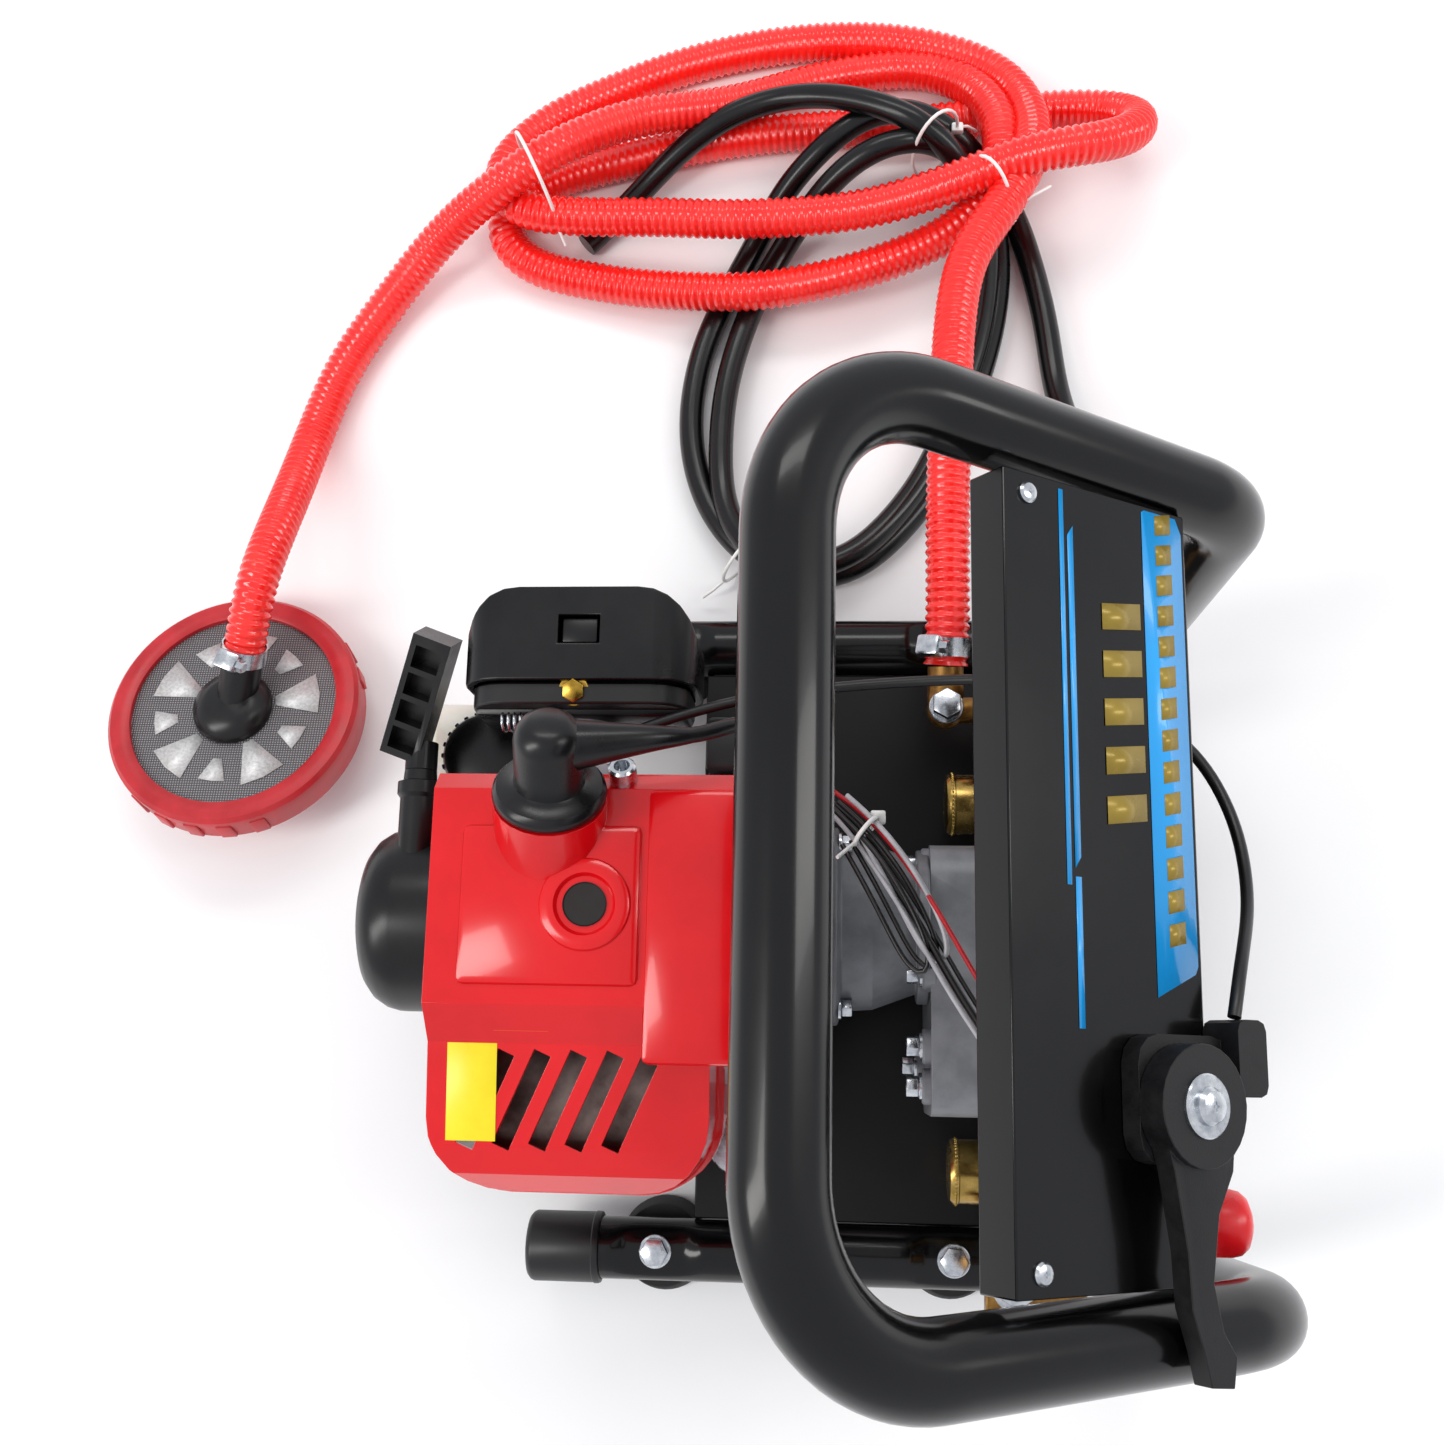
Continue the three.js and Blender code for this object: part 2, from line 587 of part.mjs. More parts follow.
function makeTank() {
  const outline = rounded(46, 118, 60, 112, 14, 3);
  const tank = alongX(outline, -186, -106);
  const neck = rod(15, v(CAP_X, CAP_Y, 108), Z, 10, 20);
  add('fuel_tank', join(tank, neck), 0xe9e6da, 0.4);
  const cap = turned([
    [0, 118.5], [15.5, 118.5], [15.5, 112.6], [21, 112.6], [23, 117], [23, 130], [19, 134], [0, 134],
  ], v(CAP_X, CAP_Y, 0), Z, 24);
  add('fuel_cap', cap, 0x121214, 0.5);
}

// ---- pump ---------------------------------------------------------------------------------

function onPump(side, along) {
  return v(PLUNGER_X, PUMP_Y + side * along, PUMP_Z);
}

function makeGearcase() {
  const [x0, x1] = GEARCASE_X;
  const y0 = PUMP_Y - GEARCASE_HALF;
  const y1 = PUMP_Y + GEARCASE_HALF;
  const low = RAIL_Z + BASE_T + GAP;
  const shell = alongX(rounded(y0, y1, low, GEARCASE_TOP, 16), x0, x1);
  const room = alongX(rounded(y0 + WALL, y1 - WALL, low + WALL + 6, GEARCASE_TOP - WALL, 12), x0 + WALL, x1 - WALL);
  const shaft = rod(SHAFT_R + GAP, onAxis(x0 - 5), X, 20, 20);
  const plungers = rod(PLUNGER_R + GAP, onPump(-1, 90), Y, 180, 20);
  const vent = rod(5, v(x0 + 40, PUMP_Y + 20, GEARCASE_TOP - 10), Z, 20, 12);
  add('pump_gearcase', cut(shell, room, shaft, plungers, vent), 0x8a8d90, 0.5, 0.6);
}

function makePumpDrive() {
  const [x0, x1] = GEARCASE_X;
  const centre = v(0, PUMP_Y, PUMP_Z);
  const shaft = rod(7, v(x0 + WALL + 1, PUMP_Y, PUMP_Z), X, x1 - x0 - WALL * 2 - 2, 16);
  const gear = rod(GEAR_R, v(x0 + 17, PUMP_Y, PUMP_Z), X, 12, 28);
  const eccentric = rod(12, v(PLUNGER_X - 7, PUMP_Y, PUMP_Z + STROKE), X, 14, 24);
  add('pump_gear', join(shaft, gear, eccentric), 0x77797c, 0.35, 0.85);
  const reach = 12 + STROKE * 2 + 1;
  const yoke = cut(
    block([PLUNGER_X - 7, centre.y - reach - 6, PUMP_Z - 24], [PLUNGER_X + 7, centre.y + reach + 6, PUMP_Z + 24]),
    block([PLUNGER_X - 9, centre.y - reach, PUMP_Z - 20], [PLUNGER_X + 9, centre.y + reach, PUMP_Z + 20]),
  );
  const length = GEARCASE_HALF + CYLINDER_LENGTH - 14 - reach;
  const rods = [-1, 1].map((side) => rod(PLUNGER_R, onPump(side, reach + 2), v(0, side, 0), length, 20));
  add('plunger_yoke', join(yoke, ...rods), 0xb9bcc0, 0.25, 0.9);
}

function makeCylinders() {
  const start = GEARCASE_HALF + GAP;
  const end = start + CYLINDER_LENGTH;
  [['near', -1], ['far', 1]].forEach(([name, side]) => {
    const way = v(0, side, 0);
    const barrel = ring([
      [PLUNGER_R + GAP, 0], [CYLINDER_R + 6, 0], [CYLINDER_R + 6, 6], [CYLINDER_R, 7],
      [CYLINDER_R, CYLINDER_LENGTH], [PLUNGER_R + GAP, CYLINDER_LENGTH],
    ], onPump(side, start), way, 24);
    const cup = onPump(side, CUP_AT);
    const root = v(cup.x - CYLINDER_R + 3, cup.y, cup.z);
    const neck = rod(7, root, v(-1, 0, 0), CUP_NECK + 3, 8);
    add(`pump_cylinder_${name}`, join(barrel, neck), 0x9b9ea1, 0.45, 0.7);
    const lid = v(cup.x - CYLINDER_R - CUP_NECK - GAP, cup.y, cup.z);
    const profile = [
      [0, 0], [CUP_R - 1, 0], [CUP_R, 2], [CUP_R, CUP_LENGTH - 4], [CUP_R - 5, CUP_LENGTH], [0, CUP_LENGTH],
    ];
    add(`grease_cup_${name}`, turned(profile, lid, v(-1, 0, 0), 24), 0xc9a85a, 0.3, 0.95);
    makeHead(name, side, end + GAP);
  });
}

function makeHead(name, side, start) {
  const h = HEAD_SIZE / 2;
  const y0 = PUMP_Y + side * start;
  const y1 = y0 + side * HEAD_LENGTH;
  const low = [PLUNGER_X - h, Math.min(y0, y1), PUMP_Z - h];
  const high = [PLUNGER_X + h, Math.max(y0, y1), PUMP_Z + h];
  const body = block(low, high);
  const middle = (y0 + y1) / 2;
  const valve = hexagon(20, v(PLUNGER_X, middle, PUMP_Z + h - 1), Z, 12);
  const lug = block([PLUNGER_X - h - 8, Math.min(y0, y1), ROD_Z - 8], [PLUNGER_X - h + 1, Math.max(y0, y1), ROD_Z + 6]);
  const hole = rod(4 + GAP, v(ROD_X, middle - 30, ROD_Z), Y, 60, 12);
  add(`valve_head_${name}`, cut(join(body, valve, lug), hole), 0xb98a4a, 0.35, 0.95);
  const from = GEARCASE_HALF + 7;
  const rodLength = start + HEAD_LENGTH + 2 - from;
  const way = v(0, side, 0);
  const bar = rod(4, v(ROD_X, PUMP_Y + side * from, ROD_Z), way, rodLength + 7, 12);
  const nut = hexagon(13, v(ROD_X, PUMP_Y + side * (from + rodLength - 2 + GAP), ROD_Z), way, 7);
  add(`tie_rod_${name}`, join(bar, nut), 0xd5d8dc, 0.15, 1);
}

function farHead() {
  const start = PUMP_Y + GEARCASE_HALF + CYLINDER_LENGTH + GAP * 2;
  return { y0: start, y1: start + HEAD_LENGTH, middle: start + HEAD_LENGTH / 2 };
}

function makeManifold() {
  const { middle } = farHead();
  const wall = PLUNGER_X - HEAD_SIZE / 2 - GAP;
  const pipe = rod(7, v(BARB_X, middle, PUMP_Z - 4), X, wall - BARB_X, 16);
  const elbow = new THREE.SphereGeometry(10, 16, 10).translate(BARB_X, middle, PUMP_Z - 4);
  const barb = rod(9.5, v(BARB_X, middle, PUMP_Z - 4), SUCTION_OUT, SUCTION_START - GAP * 3, 16);
  add('suction_elbow', join(pipe, elbow, barb), 0xb98a4a, 0.35, 0.95);
}

const SUCTION_OUT = v(0, 0.97, 0.24).normalize();

function makeRegulator() {
  const { y0, y1, middle } = farHead();
  const x0 = PLUNGER_X + HEAD_SIZE / 2 + GAP;
  const body = block([x0, y0, PUMP_Z - 14], [x0 + 24, y1, PUMP_Z + 30]);
  const outlet = rod(10, v(x0 + 22, middle, PUMP_Z), X, 20, 20);
  const barb = rod(5.5, v(x0 + 12, y1 - 2, PUMP_Z + 14), Y, 14, 16);
  const stem = rod(5, v(x0 + 12, middle, PUMP_Z + 28), Z, 8, 12);
  add('pressure_regulator', join(body, outlet, barb, stem), 0xb98a4a, 0.35, 0.95);
  const knob = turned([[0, 0], [14, 0], [15, 3], [15, 18], [12, 22], [0, 22]], v(x0 + 12, middle, PUMP_Z + 36 + GAP), Z, 20);
  add('regulator_knob', knob, 0x16161a, 0.5);
}

// ---- controls -----------------------------------------------------------------------------

function leverPoint(along, across, up) {
  const foot = v(LEVER_AT.x, 0, slopeZ(LEVER_AT.x)).addScaledVector(SLOPE_UP, PLATE_RISE + up);
  return v(foot.x, LEVER_AT.y, foot.z).addScaledVector(SLOPE, along).add(v(0, across, 0));
}

// An outline in the label plate's plane (down the slope, along +Y), extruded off the plate.
function offPlate(outline, from, depth) {
  const shape = new THREE.Shape(outline.map(([a, b]) => new THREE.Vector2(a, b)));
  const geometry = new THREE.ExtrudeGeometry(shape, { depth, bevelEnabled: false });
  const at = leverPoint(0, 0, from);
  return geometry.applyMatrix4(new THREE.Matrix4().makeBasis(SLOPE, Y, SLOPE_UP)).translate(at.x, at.y, at.z);
}

function makeThrottle() {
  const base = offPlate(rounded(-20, 27, -20, 24, 10, 3), GAP, 8);
  const horn = offPlate(rounded(22, 37, 3, 30, 4, 2), GAP, 16);
  const pin = rod(4, leverPoint(0, 0, 6), SLOPE_UP, 14, 14);
  add('throttle_bracket', join(base, horn, pin), 0x141416, 0.6);
  const hub = rod(LEVER_HUB_R, leverPoint(0, 0, 8 + GAP * 2), SLOPE_UP, 11, 28);
  const hole = rod(4 + GAP, leverPoint(0, 0, 0), SLOPE_UP, 40, 14);
  const blade = offPlate([
    [-16, -12], [-13, -22], [-8, -48], [-7, -66], [-2, -80], [1, -91], [12, -92],
    [14, -82], [8, -74], [4, -58], [8, -36], [16, -22], [18, -8],
  ].reverse(), 8 + GAP * 2, 8);
  add('throttle_lever', cut(join(hub, blade), hole), 0x101012, 0.7);
}

function makeThrottleCable() {
  const start = leverPoint(29, 31, 9);
  const points = [
    [start.x, start.y, start.z], [start.x + 4, start.y + 16, start.z - 6], [190, -2, 288], [190, 30, 272],
    [179, 58, 264], [PLATE_LOW_X + 5, ...CABLE_HOLE], [144, 90, 246], [110, 104, 212], [50, 106, 196],
    [-10, 100, 192], [-50, 90, 190], [-73, 82, 188],
  ];
  add('throttle_cable', sweep(smooth(points), CABLE_R, 34, 8), 0x141416, 0.4);
}

function makeStopSwitch() {
  const x = plateLine(PLATE_LOW_X)[0];
  const [y, z] = BUTTON_AT;
  const collar = ring([
    [5, -14], [5.8, -14], [5.8, GAP], [9, GAP], [9, 8], [5, 8],
  ], v(x, y, z), X, 20);
  add('stop_switch_body', collar, 0x18181a, 0.5);
  const button = turned([
    [0, -12], [4.6, -12], [4.6, 11], [BUTTON_R - 2, 11], [BUTTON_R, 13], [BUTTON_R, 22],
    [BUTTON_R - 4, 27], [0, 29],
  ], v(x, y, z), X, 24);
  add('stop_button', button, 0xe01820, 0.35);
  const points = [
    [x - 17, y, z], [132, -116, 249], [112, -84, 240], [84, -40, 226], [62, 0, 212],
    [40, 34, 196], [18, 58, 182], [2, 78, 166],
  ];
  add('stop_wires', sweep(smooth(points), 2.6, 20, 8), 0x1a1a1c, 0.5);
}

// ---- hoses --------------------------------------------------------------------------------

// An oval coil: the ring that the turns fill.
function ovalRing({ x, y, halfX, halfY, width, low, high }) {
  const outline = (a, b) => Array.from({ length: 28 }, (_, i) => {
    const t = i / 28 * Math.PI * 2;
    return new THREE.Vector2(x + a * Math.cos(t), y + b * Math.sin(t));
  });
  const shape = new THREE.Shape(outline(halfX, halfY));
  shape.holes.push(new THREE.Path(outline(halfX - width, halfY - width)));
  return new THREE.ExtrudeGeometry(shape, { depth: high - low, bevelEnabled: false }).translate(0, 0, low);
}

// Points standing off a coil's outside at an angle, at a height, by a distance.
function coilExit({ x, y, halfX, halfY }, degrees, height) {
  const t = THREE.MathUtils.degToRad(degrees);
  const away = new THREE.Vector2(Math.cos(t) / halfX, Math.sin(t) / halfY).normalize();
  const edge = [x + halfX * Math.cos(t), y + halfY * Math.sin(t)];
  return (distance) => [edge[0] + away.x * distance, edge[1] + away.y * distance, height];
}

function strainerNeck() {
  const tiltUp = v(0, Math.sin(STRAINER_TILT), Math.cos(STRAINER_TILT));
  const foot = STRAINER_AT.clone().addScaledVector(tiltUp, STRAINER_H / 2 - 6);
  const way = v(0.3, 0.75, 0.59).normalize();
  return { tiltUp, foot, way };
}

function makeSuctionHose() {
  add('suction_hose_coil', ovalRing(COIL_SUCTION), 0xe8262e, 0.3);
  const { middle } = farHead();
  const out = v(BARB_X, middle, PUMP_Z - 4).addScaledVector(SUCTION_OUT, SUCTION_START);
  const lead = [
    [out.x, out.y, out.z], [86, 165, 104], [86, 205, 109], [87, 250, 104], [88, 295, 92],
    [90, 340, 78], [94, 384, 66],
  ];
  add('suction_hose_lead', sweep(smooth(lead), SUCTION_D / 2, 12, 10), 0xe8262e, 0.3);
  const { foot, way } = strainerNeck();
  const end = foot.clone().addScaledVector(way, NECK_LENGTH + GAP);
  const before = end.clone().addScaledVector(way, 14);
  const leave = coilExit(COIL_SUCTION, 200, 59);
  const tail = [
    leave(1), leave(16), [-218, 421, 42], [-243, 402, 24], [-268, 376, 13.5], [-287, 340, 13.5],
    [-296, 303, 20], [-300, 268, 38], [-301, 235, 60], [-301, 204, 74], [-304, 182, 73],
    [before.x, before.y, before.z], [end.x, end.y, end.z],
  ];
  add('suction_hose_tail', sweep(smooth(tail), SUCTION_D / 2, 22, 10), 0xe8262e, 0.3);
}

function makeStrainer() {
  const { tiltUp, foot, way } = strainerNeck();
  const r = STRAINER_R;
  const h = STRAINER_H / 2;
  const drum = turned([
    [0, h - 5], [r - 9, h - 5], [r - 9, -h], [r, -h], [r + 1.5, 0], [r, h - 2], [r - 3, h], [r - 11, h], [r - 12, h - 3], [0, h - 3],
  ], STRAINER_AT, tiltUp, 28);
  const dome = new THREE.SphereGeometry(17, 20, 10).translate(foot.x, foot.y, foot.z);
  const keep = rod(r - 4, STRAINER_AT.clone().addScaledVector(tiltUp, h - 4), tiltUp, 60, 24);
  const hub = geometryOf(solid(dome).intersect(solid(keep)));
  const neck = rod(11, foot, way, NECK_LENGTH, 20);
  const above = geometryOf(solid(neck).intersect(solid(keep)));
  add('strainer', join(drum, hub, above), 0xc8202a, 0.5);
}

function makeReturnHose() {
  add('return_hose_coil', ovalRing(COIL_RETURN), 0x121214, 0.3);
  const { y1 } = farHead();
  const x = PLUNGER_X + HEAD_SIZE / 2 + GAP + 12;
  const z = PUMP_Z + 14;
  const arrive = coilExit(COIL_RETURN, -18, 16);
  const lead = [
    [x, y1 + 12 + GAP * 2, z], [x + 1, 165, 108], [156, 200, 98], [166, 240, 72], [174, 275, 38],
    [176, 298, 20], arrive(13), arrive(1),
  ];
  add('return_hose_lead', sweep(smooth(lead), RETURN_D / 2, 16, 10), 0x121214, 0.3);
}

// ---- the whole machine --------------------------------------------------------------------

makeFrame();
makeBasePlate();
makeFeet();
makeEndCaps();
makeLabelPlate();
makeCrankcase();
makeCrankshaft();
makeFlywheel();
makeFanHousing();
makeClutch();
makeCylinder();
makeMuffler();
makeShroud();
makeSparkPlug();
makeRecoil();
makeStarter();
makeAirCleaner();
makeTank();
makeGearcase();
makePumpDrive();
makeCylinders();
makeManifold();
makeRegulator();
makeThrottle();
makeThrottleCable();
makeStopSwitch();
makeSuctionHose();
makeStrainer();
makeReturnHose();

export default group;
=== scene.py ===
from math import cos, pi, radians, sin

import bmesh
import bpy
import numpy as np
from mathutils import Matrix, Vector


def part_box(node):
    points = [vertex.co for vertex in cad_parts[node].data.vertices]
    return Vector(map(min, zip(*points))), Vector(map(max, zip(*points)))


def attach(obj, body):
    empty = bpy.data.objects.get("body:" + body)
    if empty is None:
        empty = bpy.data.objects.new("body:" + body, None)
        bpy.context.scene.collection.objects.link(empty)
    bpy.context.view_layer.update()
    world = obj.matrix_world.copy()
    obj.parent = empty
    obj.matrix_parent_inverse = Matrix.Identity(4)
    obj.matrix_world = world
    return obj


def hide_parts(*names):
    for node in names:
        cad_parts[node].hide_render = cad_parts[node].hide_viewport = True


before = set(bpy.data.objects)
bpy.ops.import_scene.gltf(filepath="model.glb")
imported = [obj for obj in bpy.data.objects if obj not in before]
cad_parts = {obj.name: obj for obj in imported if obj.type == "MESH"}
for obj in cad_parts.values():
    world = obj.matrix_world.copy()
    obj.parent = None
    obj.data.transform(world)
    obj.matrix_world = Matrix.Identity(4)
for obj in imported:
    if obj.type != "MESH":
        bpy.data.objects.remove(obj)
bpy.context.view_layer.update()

# ---- Studio -------------------------------------------------------------------------------
# A pale seamless floor under large soft lamps, and a camera that looks down on the machine
# from above its near side.
scene = bpy.context.scene


def linear(code):
    """An sRGB hex colour as linear red, green, blue and alpha."""
    parts = [int(code[i:i + 2], 16) / 255 for i in (0, 2, 4)]
    return [c / 12.92 if c <= 0.04045 else ((c + 0.055) / 1.055) ** 2.4 for c in parts] + [1.0]


def put(tree, kind, settings={}, inputs={}, links={}):
    """Adds a node with its settings, its input values and its links."""
    node = tree.nodes.new(kind)
    for name, value in settings.items():
        setattr(node, name, value)
    for name, value in inputs.items():
        node.inputs[name].default_value = value
    for name, source in links.items():
        tree.links.new(source, node.inputs[name])
    return node


def finish(name, colour, deep, rough, patch, grain, bump, **shader):
    """A finish whose tone and roughness drift over patches, with a fine grain raised on it.
    Patch, grain and bump are sizes in millimetres."""
    material = bpy.data.materials.new(name)
    material.use_nodes = True
    tree = material.node_tree
    tree.nodes.clear()
    spot = put(tree, "ShaderNodeTexCoord")
    clouds = put(tree, "ShaderNodeTexNoise", inputs={"Scale": 1000 / patch, "Detail": 4.0, "Roughness": 0.6},
                 links={"Vector": spot.outputs["Object"]})
    tone = put(tree, "ShaderNodeValToRGB", links={"Fac": clouds.outputs["Fac"]})
    tone.color_ramp.elements[0].position = 0.34
    tone.color_ramp.elements[0].color = linear(deep)
    tone.color_ramp.elements[1].position = 0.62
    tone.color_ramp.elements[1].color = linear(colour)
    sheen = put(tree, "ShaderNodeMapRange", inputs={"From Min": 0.3, "From Max": 0.7, "To Min": rough[0],
                "To Max": rough[1]}, links={"Value": clouds.outputs["Fac"]})
    fine = put(tree, "ShaderNodeTexNoise", inputs={"Scale": 1000 / grain, "Detail": 3.0},
               links={"Vector": spot.outputs["Object"]})
    raised = put(tree, "ShaderNodeBump", inputs={"Strength": 0.6, "Distance": bump / 1000},
                 links={"Height": fine.outputs["Fac"]})
    surface = put(tree, "ShaderNodeBsdfPrincipled", inputs=shader, links={
        "Base Color": tone.outputs["Color"], "Roughness": sheen.outputs["Result"],
        "Normal": raised.outputs["Normal"]})
    put(tree, "ShaderNodeOutputMaterial", links={"Surface": surface.outputs[0]})
    return material


def piece(name, mesh, material, body="machine", scale=0.001, crisp=32):
    """Makes an object of a mesh drawn in millimetres, and lets it ride on a body."""
    bmesh.ops.scale(mesh, vec=(scale, scale, scale), verts=mesh.verts)
    data = bpy.data.meshes.new(name)
    mesh.to_mesh(data)
    mesh.free()
    data.polygons.foreach_set("use_smooth", [True] * len(data.polygons))
    data.set_sharp_from_angle(angle=radians(crisp))
    made = bpy.data.objects.new(name, data)
    scene.collection.objects.link(made)
    data.materials.append(material)
    if body:
        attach(made, body)
    return made


matt_paper = finish("seamless_paper", "fbfbfb", "f6f6f7", (0.85, 0.95), 400, 6, 0.02)
ground = bmesh.new()
bmesh.ops.create_grid(ground, x_segments=8, y_segments=8, size=6000)
bmesh.ops.translate(ground, vec=(0, 0, -0.05), verts=ground.verts)
floor = piece("floor", ground, matt_paper, body=None)

world = bpy.data.worlds.new("studio_air")
scene.world = world
world.use_nodes = True
world.node_tree.nodes["Background"].inputs["Color"].default_value = linear("f4f6fb")
world.node_tree.nodes["Background"].inputs["Strength"].default_value = 0.8
scene.view_settings.view_transform = "Standard"


def softbox(name, place, aimed, size, power):
    """A large soft lamp at a place, aimed at a point: size in metres, power in watts."""
    lamp = bpy.data.lights.new(name, "AREA")
    lamp.shape = "RECTANGLE"
    lamp.size, lamp.size_y = size
    lamp.energy = power
    lamp.color = linear("fffdfa")[:3]
    made = bpy.data.objects.new(name, lamp)
    scene.collection.objects.link(made)
    made.location = place
    made.rotation_euler = (Vector(aimed) - Vector(place)).to_track_quat("-Z", "Y").to_euler()


softbox("key_softbox", (-1.5, -0.5, 1.7), (-0.02, 0.1, 0.1), (0.5, 1.6), 22)
softbox("fill_softbox", (1.6, 0.3, 1.5), (0.0, 0.1, 0.1), (0.4, 1.6), 12)
softbox("top_softbox", (0.0, 1.5, 1.9), (0.0, 0.1, 0.1), (1.6, 0.4), 11)

lens = bpy.data.cameras.new("view_from_above")
lens.sensor_width = 36
lens.lens = 39.78
lens.clip_start = 0.02
camera = bpy.data.objects.new("view_from_above", lens)
scene.collection.objects.link(camera)
right = Vector((0.99630351, 0.02158798, -0.08314612))
up = Vector((-0.00331771, 0.97685537, 0.21387514))
back = Vector((0.08583887, -0.2128087, 0.97331606))
turn = Matrix((right, up, back)).transposed().to_4x4()
camera.matrix_world = Matrix.Translation((0.039944, -0.071618, 0.922342)) @ turn
scene.camera = camera

# ---- Suction hose -------------------------------------------------------------------------
# Spiral-reinforced PVC hose, 24 mm outside: a stiff red helix moulded into a soft see-through
# red wall. It is pushed on the pump's barb, lies in a loose oval coil and ends on the strainer.
suction_red = finish("spiral_pvc_red", "ff2a22", "f41a16", (0.12, 0.2), 18, 1.2, 0.03,
                     **{"Subsurface Weight": 0.35, "Subsurface Radius": (1.0, 0.12, 0.08),
                        "Subsurface Scale": 0.005, "IOR": 1.53, "Coat Weight": 0.3, "Coat Roughness": 0.05})


def along(points, step, ease=12):
    """A smooth line through given points, as evenly spaced points. Ease is the distance,
    in millimetres, over which small kinks between the points are rounded off."""
    p = np.array(points, float)
    ends = np.vstack([2 * p[0] - p[1], p, 2 * p[-1] - p[-2]])
    t = np.linspace(0, 1, 40, endpoint=False)[:, None]
    fine = []
    for a, b, c, d in zip(ends, ends[1:], ends[2:], ends[3:]):
        fine.append(0.5 * (2 * b + (c - a) * t + (2 * a - 5 * b + 4 * c - d) * t ** 2
                           + (3 * b - a - 3 * c + d) * t ** 3))
    fine = np.vstack(fine + [p[-1:]])

    def even(line, gap):
        far = np.concatenate([[0], np.cumsum(np.linalg.norm(np.diff(line, axis=0), axis=1))])
        spots = np.linspace(0, far[-1], int(round(far[-1] / gap)) + 1)
        return np.column_stack([np.interp(spots, far, line[:, i]) for i in range(3)])

    line = even(fine, 2.0)
    reach = max(1, int(ease / 2))
    for _ in range(3):
        out = line.copy()
        for i in range(1, len(line) - 1):
            r = min(reach, i, len(line) - 1 - i)
            out[i] = line[i - r:i + r + 1].mean(0)
        line = out
    return even(line, step)


def tube(name, line, radius, material, swell=None, sides=6):
    """A round tube on a curve: line is in millimetres, swell gives the width along it."""
    shape = bpy.data.curves.new(name, "CURVE")
    shape.dimensions = "3D"
    shape.bevel_depth = radius / 1000
    shape.bevel_resolution = sides
    shape.use_fill_caps = True
    shape.resolution_u = 1
    run = shape.splines.new("POLY")
    run.points.add(len(line) - 1)
    run.points.foreach_set("co", np.column_stack([np.array(line) / 1000, np.ones(len(line))]).ravel())
    run.points.foreach_set("radius", np.ones(len(line)) if swell is None else swell)
    run.use_smooth = True
    made = bpy.data.objects.new(name, shape)
    scene.collection.objects.link(made)
    shape.materials.append(material)
    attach(made, "machine")
    return made


SUCTION_ROUTE = [
    (85, 140.4, 96.8), (85.6, 152, 100), (86, 168, 104), (86, 205, 108), (87, 250, 106), (89, 295, 100),
    (92, 340, 90), (100, 385, 78), (119, 420, 68), (133, 447, 60), (143, 479, 46), (141, 514, 28),
    (128, 543, 16), (103, 561, 12), (69, 571, 12), (35, 575, 12), (-5, 574, 12), (-45, 568, 12),
    (-85, 557, 12), (-122, 541, 13), (-153, 524, 16), (-175, 503, 20), (-187, 481, 26), (-181, 456, 33),
    (-160, 444, 37), (-123, 440, 38), (-84, 438, 40), (-42, 433, 44), (-2, 430, 50), (39, 430, 56),
    (73, 437, 60), (104, 445, 66), (134, 454, 72), (165, 459, 72), (193, 471, 60), (208, 493, 40),
    (202, 512, 22), (180, 521, 13), (147, 521, 12), (108, 517, 12), (66, 513, 12), (24, 512, 12),
    (-15, 510, 12), (-52, 506, 12), (-89, 499, 12), (-124, 491, 12), (-155, 482, 12), (-177, 469, 12),
    (-189, 452, 12), (-181, 433, 12), (-161, 419, 12), (-135, 412, 13), (-103, 404, 16), (-65, 397, 23),
    (-29, 392, 30), (6, 395, 33), (39, 403, 33), (68, 414, 33), (95, 426, 36), (113, 442, 42), (123, 461, 44),
    (125, 484, 40), (121, 511, 30), (108, 536, 18), (86, 551, 12), (61, 554, 12), (35, 551, 12),
    (10, 545, 14), (-18, 531, 22), (-45, 519, 30), (-73, 512, 37), (-99, 504, 44), (-125, 488, 54),
    (-151, 471, 60), (-176, 456, 56), (-200, 445, 44), (-220, 434, 32), (-242, 416, 19), (-263, 390, 13),
    (-284, 355, 12.2), (-297, 315, 14), (-301, 275, 30), (-301, 238, 54), (-303, 204, 71), (-306, 182, 73),
    (-310.5, 164.5, 65.3), (-314.7, 154, 57.1),
]
RIB_PITCH = 5.0
RINGS_PER_RIB = 5
suction_line = along(SUCTION_ROUTE, RIB_PITCH / RINGS_PER_RIB)
count = np.arange(len(suction_line))
suction_swell = 1.0 - 0.13 * (0.5 - 0.5 * np.cos(2 * pi * count / RINGS_PER_RIB)) ** 1.4
suction_hose = tube("suction_hose", suction_line, 12, suction_red, swell=suction_swell)
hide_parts("suction_hose_lead", "suction_hose_coil", "suction_hose_tail")

